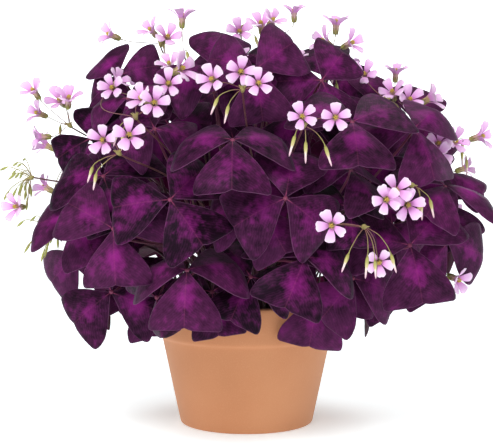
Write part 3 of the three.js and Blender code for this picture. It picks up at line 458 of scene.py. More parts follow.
def tube(line, radii, sides, ribs=0.0):
    """Points and faces of a round stem along a line of points, closed at both ends. ribs swells
    and narrows it five times round."""
    line = np.asarray(line, float)
    ways = np.gradient(line, axis=0)
    u = np.cross(ways[0], [0.31, -0.87, 0.38])
    points = []
    for place, way, radius in zip(line, ways, radii):
        way = unit(way)
        u = unit(u - u.dot(way) * way)
        v = np.cross(way, u)
        for i in range(sides):
            angle = 2 * math.pi * i / sides
            reach = radius * (1 + ribs * math.cos(5 * angle))
            points.append(place + reach * (math.cos(angle) * u + math.sin(angle) * v))
    faces = ring_faces(len(line), sides)
    faces.append(tuple(range(sides))[::-1])
    faces.append(tuple((len(line) - 1) * sides + i for i in range(sides)))
    return np.array(points), faces


def smooth_line(points, first_way, last_way, steps):
    """A smooth line through points, which starts and ends in the given ways."""
    points = np.asarray(points, float)
    slopes = np.gradient(points, axis=0)
    spans = np.linalg.norm(np.diff(points, axis=0), axis=1)
    slopes[0] = unit(first_way) * spans[0]
    slopes[-1] = unit(last_way) * spans[-1]
    line = [points[0]]
    for i, span in enumerate(spans):
        a, b = points[i], points[i + 1]
        pull_a = unit(slopes[i]) * span
        pull_b = unit(slopes[i + 1]) * span
        for t in np.linspace(0, 1, steps + 1)[1:]:
            line.append(
                (2 * t**3 - 3 * t**2 + 1) * a
                + (t**3 - 2 * t**2 + t) * pull_a
                + (3 * t**2 - 2 * t**3) * b
                + (t**3 - t**2) * pull_b
            )
    return np.array(line)


def add_stem(piece, line, radii, sides, finish, blush, tint):
    """A round stem whose blush runs from one value to another along it."""
    points, faces = tube(line, radii, sides)
    blush = np.repeat(np.linspace(*blush, len(line)), sides)
    piece.add(points, faces, finish, None, blush, tint)


def turned(profile, sides):
    """Points and faces of a body turned about the upright axis, from a closed outline."""
    angles = 2 * np.pi * np.arange(sides) / sides
    ring = np.stack([np.cos(angles), np.sin(angles)], 1)
    points = [(*(ring[i] * radius), height) for radius, height in profile for i in range(sides)]
    quads = ring_faces(len(profile) + 1, sides)
    return np.array(points), [tuple(i % len(points) for i in quad) for quad in quads]


# ---------------------------------------- leaves

TOP, UNDER, STEM = 0, 1, 2


def add_leaflet(piece, hub, normal, leaflet, tint):
    """One broad leaflet with two rounded lobes, folded a little along its midrib."""
    s = np.linspace(LEAF_START, 1, LEAFLET_ROWS + 1)[:, None] ** 0.9
    t = np.linspace(-1, 1, LEAFLET_COLUMNS + 1)[None, :]
    t = t * (1.25 - 0.25 * t**2)  # closer together towards the corners
    length = leaflet["length"] * LEAF_GROWTH
    reach = s * length * fine_edge(np.abs(t))
    angle = t * LEAF_HALF_SPREAD * (1 + SIDE_BULGE * np.sin(np.pi * s))
    out = reach * np.cos(angle)
    side = reach * np.sin(angle)
    slope = leaflet["slope"] - leaflet["bend"] * out / (2 * length)
    crease = np.sqrt(side**2 + MIDRIB_WIDTH**2) - MIDRIB_WIDTH
    phase = RANDOM.uniform(0, 2 * np.pi, 2)
    ripple = LEAF_RIPPLE * s**3 * np.sin(5 * t + phase[0])
    ripple += RIB_RIPPLE * s**2 * np.abs(t) * np.sin(11 * s + phase[1])
    dome = LOBE_DOME * s**2 * np.sin(np.pi * np.abs(t)) ** 2
    drop = ripple + dome - crease * math.sin(leaflet["fold"])
    forward = out * np.cos(slope) - drop * np.sin(slope)
    upward = out * np.sin(slope) + drop * np.cos(slope)
    sideways = side * math.cos(leaflet["fold"])
    grid = (
        hub
        + forward[..., None] * leaflet["heading"]
        + sideways[..., None] * leaflet["side"]
        + upward[..., None] * normal
    )
    points, above, below, edge = thin_sheet(grid, LEAF_THICKNESS, normal)
    margin = np.minimum((1 - s) * length, s * length * (1 - np.abs(t)) * LEAF_HALF_SPREAD)
    places = np.stack([out, side, margin], -1)
    centre = RANDOM.uniform(*BLOTCH_PLACE)
    forth, aside = (out / length - centre) / BLOTCH_REACH[0], side / length / BLOTCH_REACH[1]
    blush = np.clip(1.15 - np.hypot(forth, aside), 0, 1) * RANDOM.uniform(*BLOTCH_STRENGTH)
    finishes = [TOP] * len(above) + [UNDER] * len(below) + [TOP] * len(edge)
    both = np.stack([places] * 2), np.stack([blush] * 2)
    piece.add(points, above + below + edge, finishes, *both, tint)


def add_stalk(piece, leaf, tint):
    """A leaf's stalk, from its crown to the hub."""
    ends = leaf["stalk"][::-1]
    line = smooth_line([*ends[:-1], leaf["hub"]], (0, 0, 1), leaf["normal"], 8)
    radii = np.linspace(*STALK_RADIUS, len(line))
    radii[-1] = 2 * STALK_RADIUS[1]
    add_stem(piece, line, radii, STALK_SIDES, STEM, (0, 1), tint)


def add_crown(piece, feet):
    """The blunt scaly tip of a rhizome, just out of the soil, where the leafstalks start."""
    x, y, _ = np.mean(feet, axis=0)
    top = soil_height(x, y) + CROWN["tip"]
    rise = np.linspace(0, 1, CROWN["rings"])
    line = [(x, y, top - CROWN["length"] * (1 - share)) for share in rise]
    radii = CROWN["radius"] * np.sqrt(1.02 - (np.maximum(0, rise - 0.5) / 0.5) ** 2)
    points, faces = tube(line, radii * (1 + 0.05 * np.sin(30 * rise)), CROWN["sides"])
    piece.add(points, faces, STEM, None, 0.1, 0.2)


def add_leaf_bunch(node, finishes):
    """The leaves, stalks and crown of one bunch."""
    solid = Solid(node)
    piece = Piece()
    feet = []
    for corner, around in enumerate(solid.around):
        if len(around) != LEAF_FAN:
            continue
        leaf = read_leaf(solid, corner)
        if leaf["leaflets"][0]["length"] < SHORTEST_LEAFLET:
            continue
        feet.append(leaf["stalk"][-1])
        tint = RANDOM.uniform(0, 1)
        for leaflet in leaf["leaflets"]:
            add_leaflet(piece, leaf["hub"], leaf["normal"], leaflet, tint)
        add_stalk(piece, leaf, tint)
    add_crown(piece, feet)
    piece.finish(node + "_leaves", finishes, node, "leaf")


# ---------------------------------------- flowers and buds

PETAL, GREEN, BUD, POLLEN = 0, 1, 2, 3

# The funnel's outline: how far out, and how far in front of the petals' notches.
FUNNEL_OUT = (0.95, 1.3, 1.8, 2.8, 4.7, 7.0, 8.9, 10.2)
FUNNEL_FRONT = (-TUBE_LENGTH, -8, -5, -2.5, -0.5, 1.1, 1.9, 1.9)
PETAL_HALF_WIDTH = (0.65, 0.9, 1.35, 1.8, 2.8, 3.5, 3.65, 3.2)

# How petals differ.
PETAL_SIZE = (0.93, 1.04)
PETAL_LEAN = 0.12
PETAL_BREADTH = (0.84, 1.02)
PETAL_CURL = 0.9
PETAL_CUP = (0.02, 0.16)
PETAL_TWIST = 0.24


def add_petal(piece, flower, way, across, tint):
    """A petal that leaves the tube as a narrow claw and ends broad and blunt, slightly cupped.
    Each has its own lean, width, curl, twist and wavy end."""
    facing, size = flower["facing"], flower["size"] * RANDOM.uniform(*PETAL_SIZE)
    lean = RANDOM.uniform(-PETAL_LEAN, PETAL_LEAN)
    way, across = unit(way + lean * across), unit(across - lean * way)
    knots = np.linspace(0, 1, len(FUNNEL_OUT))
    p = np.linspace(-1, 1, PETAL_COLUMNS + 1)[None, :]
    phase = RANDOM.uniform(0, 2 * np.pi, 2)
    notch = 0.035 * np.exp(-(((p - RANDOM.uniform(-0.2, 0.2)) / 0.25) ** 2))
    end = 1 - 0.15 * np.abs(p) ** 3.4 - notch + 0.018 * np.sin(6 * p + phase[0])
    q = np.linspace(0, 1, PETAL_ROWS + 1)[:, None] * end
    out = np.interp(q, knots, FUNNEL_OUT)
    front = np.interp(q, knots, FUNNEL_FRONT)
    half = np.interp(q, knots, PETAL_HALF_WIDTH) * RANDOM.uniform(*PETAL_BREADTH)
    side = p * half
    lift = RANDOM.uniform(-PETAL_CURL, PETAL_CURL) * q**3
    lift = lift - RANDOM.uniform(*PETAL_CUP) * half * p**2
    lift = lift + RANDOM.uniform(-PETAL_TWIST, PETAL_TWIST) * side
    lift = lift + 0.3 * q**3 * np.sin(4 * p + phase[1])
    grid = flower["centre"] + size * (
        out[..., None] * way + side[..., None] * across + (front + lift)[..., None] * facing
    )
    points, above, below, edge = thin_sheet(grid, PETAL_THICKNESS, facing)
    places = np.stack([out, side, front], -1)
    both = np.stack([places] * 2), np.stack([q] * 2)
    piece.add(points, above + below + edge, PETAL, *both, tint)


def add_sepal(piece, flower, way, across):
    """One of the five narrow sepals that hold the tube."""
    facing, size = flower["facing"], flower["size"]
    q, p = np.meshgrid(np.linspace(0, 1, 6), np.linspace(-1, 1, 3), indexing="ij")
    half = SEPAL_HALF_WIDTH * np.sin(np.pi * np.clip(0.18 + 0.8 * q, 0, 1)) + 0.05
    out = 1.25 + 0.75 * q + 0.12 * np.abs(p)
    front = -TUBE_LENGTH - 0.3 + SEPAL_LENGTH * q
    grid = flower["centre"] + size * (
        out[..., None] * way + (p * half)[..., None] * across + front[..., None] * facing
    )
    points, above, below, edge = thin_sheet(grid, SEPAL_THICKNESS, -way)
    piece.add(points, above + below + edge, GREEN, None, np.stack([0.3 * q] * 2), 0.3)


# The outer and the inner anthers: how far out, how far in front of the notches, and radius.
ANTHERS = ((1.15, -0.9, 0.5), (0.6, -0.2, 0.42))


def add_anthers(piece, flower):
    """The knob of pollen-covered anthers and styles that fills the throat."""
    facing, size = flower["facing"], flower["size"]
    for i, way in enumerate(flower["ways"]):
        other = flower["ways"][(i + 1) % PETALS]
        for reach, front, radius in ANTHERS:
            at = flower["centre"] + size * (reach * unit(way + 0.4 * other) + front * facing)
            line = [at - 2.2 * size * facing, at - radius * facing, at + radius * facing * 0.9]
            points, faces = tube(line, [0.16, radius, 0.12], 6)
            piece.add(points, faces, POLLEN)


def add_flower(piece, flower):
    """A trumpet flower on its pedicel."""
    tint = RANDOM.uniform(0, 1)
    facing = flower["facing"]
    for i, way in enumerate(flower["ways"]):
        across = np.cross(facing, way)
        add_petal(piece, flower, way, across, tint)
        middle = unit(way + flower["ways"][(i + 1) % PETALS])
        add_sepal(piece, flower, middle, np.cross(facing, middle))
    add_anthers(piece, flower)
    neck = flower["centre"] - (TUBE_LENGTH - 0.4) * flower["size"] * facing
    add_pedicel(piece, [neck, *flower["pedicel"][1:]], -facing)


def add_pedicel(piece, stops, first_way, blush=(0.3, 0.5)):
    """The thread-like stalk from a flower or bud to its umbel's knot."""
    last_way = unit(stops[-1] - stops[-2])
    line = smooth_line(stops, first_way, last_way, 7)
    radii = np.full(len(line), PEDICEL_RADIUS)
    radii[0] = PEDICEL_END_RADIUS
    add_stem(piece, line, radii, PEDICEL_SIDES, GREEN, blush, 0.6)


# A bud's outline: shares of its length, and there its half width as a share of the greatest.
BUD_SHARES = (0.0, 0.06, 0.16, 0.3, 0.42, 0.52, 0.66, 0.8, 0.92, 1.0)
BUD_WIDTHS = (0.45, 0.8, 0.98, 1.0, 0.86, 0.66, 0.58, 0.56, 0.4, 0.08)


def add_bud(piece, bud, is_pod):
    """A furled bud in its calyx, or a seed pod, which is green to its sharp tip."""
    shares, widths = np.array(BUD_SHARES), np.array(BUD_WIDTHS)
    if is_pod:
        widths = np.sin(np.pi * np.clip(0.12 + 0.88 * shares, 0, 1)) ** 0.8 + 0.05
    line = bud["base"] + shares[:, None] * (bud["tip"] - bud["base"])
    radius = POD_RADIUS if is_pod else BUD_RADIUS
    points, faces = tube(line, radius * widths, BUD_SIDES, BUD_RIBS)
    way = unit(bud["base"] - bud["tip"])
    blush = np.repeat(shares * (0.12 if is_pod else 1), BUD_SIDES)
    piece.add(points, faces, GREEN if is_pod else BUD, None, blush, 0.5)
    stem_blush = (0.05, 0.3) if is_pod else (0.15, 0.45)
    add_pedicel(piece, [bud["base"], *bud["pedicel"][1:]], way, stem_blush)


def moved_bud(bud):
    """A copy of a bud, turned a little about its knot and nearer to it or farther off."""
    knot = bud["pedicel"][-1]
    axis = unit(RANDOM.normal(size=3))
    angle = RANDOM.uniform(0.2, 0.8) * RANDOM.choice((-1, 1))
    share = RANDOM.uniform(0.8, 1.45)
    stops = []
    for stop in bud["pedicel"]:
        arm = (stop - knot) * share
        across = np.cross(axis, arm)
        along = axis * axis.dot(arm) * (1 - math.cos(angle))
        stops.append(knot + arm * math.cos(angle) + across * math.sin(angle) + along)
    tip = stops[0] + (bud["tip"] - bud["base"]) * RANDOM.uniform(0.7, 1.0)
    return {"base": stops[0], "tip": tip, "pedicel": stops}


def pod_of(bud):
    """A pod in a bud's place, shorter, and pointing partly the way that its stalk leads."""
    hanging = bud["tip"] - bud["base"]
    outward = unit(bud["base"] - bud["pedicel"][-1])
    length = np.linalg.norm(hanging) * POD_LENGTH
    return {**bud, "tip": bud["base"] + length * unit(unit(hanging) + POD_SPREAD * outward)}


def add_knot(piece, knot, way):
    """The small cluster of bracts from which the pedicels leave."""
    for i in range(7):
        angle = i * 2.4
        lean = np.array([math.cos(angle), math.sin(angle), 0])
        out = unit(way * 0.8 + lean)
        line = [knot - 0.6 * way, knot + 1.2 * out, knot + 3.4 * out + 0.6 * way]
        points, faces = tube(line, [0.9, 0.75, 0.08], 6)
        piece.add(points, faces, GREEN, None, 0.2, 0.9)
    line = [knot + way * w for w in (-2.4, -1.2, 0, 1.2, 1.9)]
    points, faces = tube(line, [0.8, 1.4, 1.8, 1.4, 0.3], 10)
    piece.add(points, faces, GREEN, None, 0.2, 0.7)


# One flower stands so close to its umbel's knot that its throat can't be read. This is its
# umbel, its place, size and facing, and the way of one of its petals.
CLOSE_FLOWER_UMBEL = "flower_umbel_14"
CLOSE_FLOWER_CENTRE = (146.7, -32.3, 204.1)
CLOSE_FLOWER_SIZE = 0.96
CLOSE_FLOWER_FACING = (0.473, -0.812, 0.342)
CLOSE_FLOWER_PETAL = (-0.733, -0.144, 0.664)


def close_flower(knot):
    """That flower, as read_flower gives the others."""
    facing = unit(np.array(CLOSE_FLOWER_FACING))
    petal = unit(np.array(CLOSE_FLOWER_PETAL))
    across = np.cross(facing, petal)
    turns = np.arange(PETALS) * 2 * math.pi / PETALS
    centre = np.array(CLOSE_FLOWER_CENTRE)
    return {
        "centre": centre,
        "facing": facing,
        "size": CLOSE_FLOWER_SIZE,
        "ways": [unit(petal * math.cos(turn) + across * math.sin(turn)) for turn in turns],
        "pedicel": [centre, knot],
    }


def add_umbel(node, finishes):
    """A flower stalk with its knot of bracts, flowers, and buds or pods."""
    solid = Solid(node)
    piece = Piece()
    corners = range(len(solid.points))
    flowers = [flower for flower in (read_flower(solid, i) for i in corners) if flower]
    buds = [bud for bud in (read_bud(solid, i) for i in corners) if bud]
    stops = read_scape(solid)
    knot = stops[-1]
    if node == CLOSE_FLOWER_UMBEL:
        flowers.append(close_flower(knot))
    has_seed = len(buds) >= SEEDING_BUDS and len(flowers) < 2
    for flower in flowers:
        add_flower(piece, flower)
    for bud in buds:
        if has_seed:
            for pod in [bud] + [moved_bud(bud) for _ in range(EXTRA_PODS)]:
                add_bud(piece, pod_of(pod), True)
        else:
            add_bud(piece, bud, False)
    way = unit(knot - stops[-2])
    line = smooth_line(stops, (0, 0, 1), way, 8)
    radii = np.linspace(*SCAPE_RADIUS, len(line))
    add_stem(piece, line, radii, SCAPE_SIDES, GREEN, (1, 0.62), 0.8)
    add_knot(piece, knot, way)
    piece.finish(node + "_flowers", finishes, node, "flower")


# ---------------------------------------- pot and soil


def rounded(outline, steps=4):
    """A closed outline with an arc at each corner, of the size that the corner gives last."""
    made = []
    amount = len(outline)
    for i, (*here, size) in enumerate(outline):
        here = np.array(here, float)
        before = np.array(outline[i - 1][:2], float)
        after = np.array(outline[(i + 1) % amount][:2], float)
        back = here + unit(before - here) * min(size, np.linalg.norm(before - here) * 0.45)
        ahead = here + unit(after - here) * min(size, np.linalg.norm(after - here) * 0.45)
        for t in np.linspace(0, 1, steps + 1):
            made.append(tuple((1 - t) ** 2 * back + 2 * t * (1 - t) * here + t**2 * ahead))
    return made


def add_pot(finish):
    """The hollow pot, with its collar, rolled edges and drain hole."""
    neck = POT["height"] - POT["collar"]
    inside = POT["rim"] - POT["wall"]
    outline = [
        (POT["drain"], 0, 0.8),
        (POT["foot"] - 3, 0, 0.6),
        (POT["foot"] - 0.2, 0.6, 1.6),
        (POT["neck"] - 0.7, neck - 1.6, 1.4),
        (POT["neck"] + POT["lip"] + 0.2, neck + 0.4, 1.4),
        (POT["rim"], POT["height"], 2.2),
        (inside, POT["height"], 2.2),
        (POT["foot"] - POT["wall"] + 2, POT["floor"], 3),
        (POT["drain"], POT["floor"], 0.8),
    ]
    profile = []
    corners = rounded(outline)
    for (r0, z0), (r1, z1) in zip(corners, corners[1:] + corners[:1]):
        steps = max(1, int(math.hypot(r1 - r0, z1 - z0) / 6))
        profile += [(mix(r0, r1, k / steps), mix(z0, z1, k / steps)) for k in range(steps)]
    points, faces = turned(profile, POT_SIDES)
    piece = Piece()
    piece.add(points, faces, 0)
    piece.finish("pot_body", [finish], "pot", "terracotta")


def soil_height(x, y):
    """The soil's lumpy mound."""
    r = np.hypot(x, y) / (POT["rim"] - POT["wall"])
    lumps = np.sin(x * 0.31 + 1) * np.sin(y * 0.27) + 0.6 * np.sin(x * 0.13 - y * 0.19)
    return SOIL_TOP + SOIL_MOUND * (1 - r * r) + SOIL_LUMP * lumps * (1 - r)


def add_soil(finish):
    """Potting soil with a crumbly top."""
    low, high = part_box("soil")
    wide = (high.x - low.x) / 2 / MM
    radii = wide * np.linspace(0.004, 1, SOIL_RINGS)
    angles = 2 * np.pi * np.arange(SOIL_SIDES) / SOIL_SIDES
    x = radii[:, None] * np.cos(angles)
    y = radii[:, None] * np.sin(angles)
    crumbs = RANDOM.normal(0, CRUMB_RELIEF, (SOIL_RINGS, SOIL_SIDES))
    crumbs = crumbs * np.minimum(1, radii[:, None] / 8)
    z = soil_height(x, y) + np.clip(crumbs, -1.2, 1.4) - 0.4
    z[-1] = SOIL_TOP - 0.5
    top = np.stack([x, y, z], -1).reshape(-1, 3)
    foot = low.z / MM
    narrow = POT["foot"] - POT["wall"] + 1.6
    wall = [(narrow * math.cos(a), narrow * math.sin(a), foot) for a in angles]
    points = np.concatenate([top, wall])
    faces = ring_faces(SOIL_RINGS + 1, SOIL_SIDES, flip=True)
    faces.append(tuple(range(SOIL_SIDES)))
    faces.append(tuple(SOIL_RINGS * SOIL_SIDES + i for i in range(SOIL_SIDES))[::-1])
    piece = Piece()
    piece.add(points, faces, 0)
    piece.finish("soil_top", [finish], "soil", "soil")


# ---------------------------------------- finishes


def linear(code):
    """The linear colour of an sRGB hex value."""
    values = [int(code[i : i + 2], 16) / 255 for i in (1, 3, 5)]
    return [v / 12.92 if v <= 0.04045 else ((v + 0.055) / 1.055) ** 2.4 for v in values] + [1]


def add(tree, kind, settings=None, links=None, stops=()):
    """Adds a node. Settings are its properties or its inputs' values, links its inputs' sources,
    and stops a colour ramp's places and colours."""
    made = tree.nodes.new("ShaderNode" + kind)
    for _ in stops[2:]:
        made.color_ramp.elements.new(0.5)
    for i, (place, code) in enumerate(stops):
        made.color_ramp.elements[i].position = place
        made.color_ramp.elements[i].color = linear(code)
    for name, value in (settings or {}).items():
        if isinstance(name, str) and hasattr(made, name):
            setattr(made, name, value)
        else:
            made.inputs[name].default_value = value
    for name, source in (links or {}).items():
        tree.links.new(source, made.inputs[name])
    return made.outputs[0] if len(made.outputs) == 1 else made.outputs


def new_finish(name, values):
    """A material, its tree and its one Principled shader, whose own sockets get the values."""
    material = bpy.data.materials.new(name)
    material.use_nodes = True
    tree = material.node_tree
    shader = tree.nodes["Principled BSDF"]
    for socket, value in values.items():
        shader.inputs[socket].default_value = value
    return material, tree, shader


def plug(tree, shader, sources):
    """Links what varies over a surface to its shader's sockets."""
    for socket, source in sources.items():
        tree.links.new(source, shader.inputs[socket])


# Veins are set on the map, so many millimetres apart. The other patterns are set in space, so
# many to the metre, and their widths follow in millimetres. Those that are called coarse are
# finer in reality, and are drawn as coarse as they need to show.
LEAF_VEIN_SPACING = 2.2
PETAL_VEIN_SPACING = 0.7
LEAF_CLOUDS = 70  # 14
LEAF_MOTTLES = 230  # 4.3
LEAF_GRAIN = 520  # 1.9, coarse
STEM_SPECKS = 300  # 3.3
BUD_SPECKS = 500  # 2
POLLEN_GRAINS = 10000 / 3  # 0.3, coarse
CLAY_CLOUDS = 14  # 71
CLAY_GRIT = 1300  # 0.8, coarse
CLAY_LINES = 300  # 3.3, coarse
SOIL_CRUMBS = 1000 / 3  # 3
SOIL_BITS = 600  # 1.7


def side_veins(tree, out, reach, cloud, mottle):
    """Side veins that leave the midrib, run forward to the margin, and wander. Gives the wave
    that they make, and the veins alone, patchy."""
    fan = add(tree, "Math", {"operation": "MULTIPLY_ADD", 1: -0.8}, {0: reach, 2: out})
    wander = add(tree, "Math", {"operation": "MULTIPLY_ADD", 1: 9}, {0: cloud, 2: fan})
    wander = add(tree, "Math", {"operation": "MULTIPLY_ADD", 1: 5}, {0: mottle, 2: wander})
    turns = 2 * math.pi / LEAF_VEIN_SPACING
    wave = add(tree, "Math", {"operation": "MULTIPLY", 1: turns}, {0: wander})
    wave = add(tree, "Math", {"operation": "SINE"}, {0: wave})
    vein = add(tree, "MapRange", {"From Min": 0.5, "From Max": 1.0}, {0: wave})[0]
    return wave, add(tree, "Math", {"operation": "MULTIPLY"}, {0: vein, 1: mottle})


def leaf_rim(tree, colour, out, reach, margin, rim):
    """Colours the midrib pink where it leaves the hub, and the margin pale, which is partly the
    blade's own pale edge and partly painted rim light.
    """
    rib = add(tree, "MapRange", {"From Min": 0.55, "From Max": 0.1}, {0: reach})[0]
    ends = {"From Min": 6, "From Max": 1, "To Min": 0.12, "To Max": 0.8}
    near = add(tree, "MapRange", ends, {0: out})[0]
    rib = add(tree, "Math", {"operation": "MULTIPLY"}, {0: rib, 1: near})
    colour = add(tree, "Mix", {"data_type": "RGBA", 7: linear("#9a4468")}, {0: rib, 6: colour})[2]
    # A thin pale band along the margin: partly the blade's own pale edge, partly painted rim light.
    ends = {"From Min": 0.5, "From Max": 0.1, "To Max": 0.4}
    pale_margin_and_rim_light = add(tree, "MapRange", ends, {0: margin})[0]
    return add(tree, "Mix", {"data_type": "RGBA", 7: linear(rim)}, {0: pale_margin_and_rim_light, 6: colour})[2]


def leaf_finish(name, dark, plain, sheen, blotch, veins, rim):
    """Leaf blade of purple shamrock: a thin waxy skin over dark plum flesh. It gives a satin
    face that is clouded rather than even, a soft magenta blotch in each leaflet's middle, faint
    side veins, and a thin pale rim that is partly painted rim light."""
    values = {
        "Sheen Weight": 0.05,
        "Sheen Roughness": 0.45,
        "Sheen Tint": linear(sheen),
        "IOR": 1.4,
        "Specular IOR Level": 0.18,
        "Specular Tint": linear(sheen),
    }
    material, tree, skin = new_finish(name, values)
    spot = add(tree, "Attribute", {"attribute_name": "place_mm"})[1]
    out, side, margin = add(tree, "SeparateXYZ", None, {0: spot})
    blush = add(tree, "Attribute", {"attribute_name": "blush"})[2]
    tint = add(tree, "Attribute", {"attribute_name": "tint"})[2]
    place = add(tree, "TexCoord")[3]
    cloud = add(tree, "TexNoise", {"Scale": LEAF_CLOUDS, "Detail": 3}, {"Vector": place})[0]
    mottle = add(tree, "TexNoise", {"Scale": LEAF_MOTTLES, "Detail": 4}, {"Vector": place})[0]
    grain = add(tree, "TexNoise", {"Scale": LEAF_GRAIN, "Detail": 3}, {"Vector": place})[0]
    reach = add(tree, "Math", {"operation": "ABSOLUTE"}, {0: side})
    wave, vein = side_veins(tree, out, reach, cloud, mottle)
    clouds = add(tree, "Math", {"operation": "ADD"}, {0: cloud, 1: mottle})
    shade = add(tree, "Math", {"operation": "MULTIPLY_ADD", 1: 0.55}, {0: tint, 2: clouds})
    shade = add(tree, "Math", {"operation": "MULTIPLY_ADD", 1: 0.045}, {0: wave, 2: shade})
    shade = add(tree, "MapRange", {"From Min": 0.88, "From Max": 1.62}, {0: shade})[0]
    colour = add(tree, "ValToRGB", None, {0: shade}, [(0, dark), (1, plain)])[0]
    faint = add(tree, "Math", {"operation": "MULTIPLY", 1: 0.1}, {0: vein})
    colour = add(tree, "Mix", {"data_type": "RGBA", 7: linear(veins)}, {0: faint, 6: colour})[2]
    # the blotch, with ragged edges
    ragged = add(tree, "Math", {"operation": "MULTIPLY_ADD", 1: 1.1, 2: -1.2}, {0: clouds})
    patch = add(tree, "Math", {"operation": "ADD"}, {0: blush, 1: ragged})
    patch = add(tree, "Math", {"operation": "MULTIPLY_ADD", 1: 0.14}, {0: vein, 2: patch})
    patch = add(tree, "MapRange", {"From Max": 1.0, "To Max": 0.66}, {0: patch})[0]
    colour = add(tree, "Mix", {"data_type": "RGBA", 7: linear(blotch)}, {0: patch, 6: colour})[2]
    colour = leaf_rim(tree, colour, out, reach, margin, rim)
    rough = add(tree, "MapRange", {"To Min": 0.4, "To Max": 0.62}, {0: grain})[0]
    height = add(tree, "Math", {"operation": "MULTIPLY_ADD", 1: 0.2}, {0: vein, 2: grain})
    height = add(tree, "Math", {"operation": "MULTIPLY_ADD", 1: 1.5}, {0: mottle, 2: height})
    bump = add(tree, "Bump", {"Strength": 0.35, "Distance": 0.0004}, {"Height": height})
    plug(tree, skin, {"Base Color": colour, "Roughness": rough, "Normal": bump})
    return material


def stem_finish(name, base, middle, top, speck):
    """Leafstalk or flower stalk: smooth, juicy skin. It gives a soft gloss, and a colour that
    changes along it and is specked with a paler one."""
    material, tree, skin = new_finish(name, {"IOR": 1.4})
    blush = add(tree, "Attribute", {"attribute_name": "blush"})[2]
    place = add(tree, "TexCoord")[3]
    spots = add(tree, "TexNoise", {"Scale": STEM_SPECKS, "Detail": 2}, {"Vector": place})[0]
    colour = add(tree, "ValToRGB", None, {0: blush}, [(0, base), (0.45, middle), (1, top)])[0]
    share = add(tree, "MapRange", {"From Min": 0.5, "From Max": 0.8, "To Max": 0.6}, {0: spots})[0]
    colour = add(tree, "Mix", {"data_type": "RGBA", 7: linear(speck)}, {0: share, 6: colour})[2]
    rough = add(tree, "MapRange", {"To Min": 0.35, "To Max": 0.55}, {0: spots})[0]
    plug(tree, skin, {"Base Color": colour, "Roughness": rough})
    return material


def petal_finish():
    """Petal: very thin, matt and silky. It gives pale lilac pink that lets light through, deeper
    towards the throat, with fine lengthwise veins. The throat is yellow green."""
    values = {
        "Roughness": 0.6,
        "IOR": 1.35,
        "Sheen Weight": 0.3,
        "Subsurface Weight": 0.25,
        "Subsurface Radius": (0.002, 0.0012, 0.002),
        "Subsurface Scale": 1.0,
    }
    material, tree, skin = new_finish("silky_lilac_petal", values)
    spot = add(tree, "Attribute", {"attribute_name": "place_mm"})[1]
    _, side, _ = add(tree, "SeparateXYZ", None, {0: spot})
    out = add(tree, "Attribute", {"attribute_name": "blush"})[2]
    tint = add(tree, "Attribute", {"attribute_name": "tint"})[2]
    stops = [(0.0, "#c9b077"), (0.3, "#b0a04c"), (0.4, "#cf83c6")]
    stops += [(0.58, "#e6ade0"), (1.0, "#f6d9ee")]
    colour = add(tree, "ValToRGB", None, {0: out}, stops)[0]
    turns = 2 * math.pi / PETAL_VEIN_SPACING
    wave = add(tree, "Math", {"operation": "MULTIPLY", 1: turns}, {0: side})
    wave = add(tree, "Math", {"operation": "COSINE"}, {0: wave})
    vein = add(tree, "MapRange", {"From Min": 0.3, "From Max": 1.0, "To Max": 0.45}, {0: wave})[0]
    fade = add(tree, "MapRange", {"From Min": 1.0, "From Max": 0.35}, {0: out})[0]
    vein = add(tree, "Math", {"operation": "MULTIPLY"}, {0: vein, 1: fade})
    colour = add(tree, "Mix", {"data_type": "RGBA", 7: linear("#c565c8")}, {0: vein, 6: colour})[2]
    deep = add(tree, "MapRange", {"To Max": 0.3}, {0: tint})[0]
    colour = add(tree, "Mix", {"data_type": "RGBA", 7: linear("#e196e0")}, {0: deep, 6: colour})[2]
    bump = add(tree, "Bump", {"Strength": 0.3, "Distance": 0.0002}, {"Height": wave})
    plug(tree, skin, {"Base Color": colour, "Normal": bump})
    return material


def bud_finish():
    """Furled bud: a waxy yellow-green calyx, and the silky pinkish white roll of petals that it
    holds."""
    material, tree, skin = new_finish("waxy_bud", {"Roughness": 0.45, "IOR": 1.4})
    out = add(tree, "Attribute", {"attribute_name": "blush"})[2]
    place = add(tree, "TexCoord")[3]
    cloud = add(tree, "TexNoise", {"Scale": BUD_SPECKS, "Detail": 2}, {"Vector": place})[0]
    shift = add(tree, "Math", {"operation": "MULTIPLY_ADD", 1: 0.12}, {0: cloud, 2: out})
    stops = [(0.0, "#86803c"), (0.3, "#a8a05c"), (0.5, "#c4b582")]
    stops += [(0.62, "#e6cfc8"), (1.0, "#d9a9bd")]
    colour = add(tree, "ValToRGB", None, {0: shift}, stops)[0]
    bump = add(tree, "Bump", {"Strength": 0.2, "Distance": 0.0002}, {"Height": cloud})
    plug(tree, skin, {"Base Color": colour, "Normal": bump})
    return material


def pollen_finish():
    """Anthers: dusty ochre and olive pollen, quite matt."""
    material, tree, skin = new_finish("pollen_anthers", {"Roughness": 0.8})
    place = add(tree, "TexCoord")[3]
    grains = add(tree, "TexVoronoi", {"Scale": POLLEN_GRAINS}, {"Vector": place})[0]
    stops = [(0, "#a98f2e"), (1, "#d8c25a")]
    colour = add(tree, "ValToRGB", None, {0: grains}, stops)[0]
    plug(tree, skin, {"Base Color": colour})
    return material


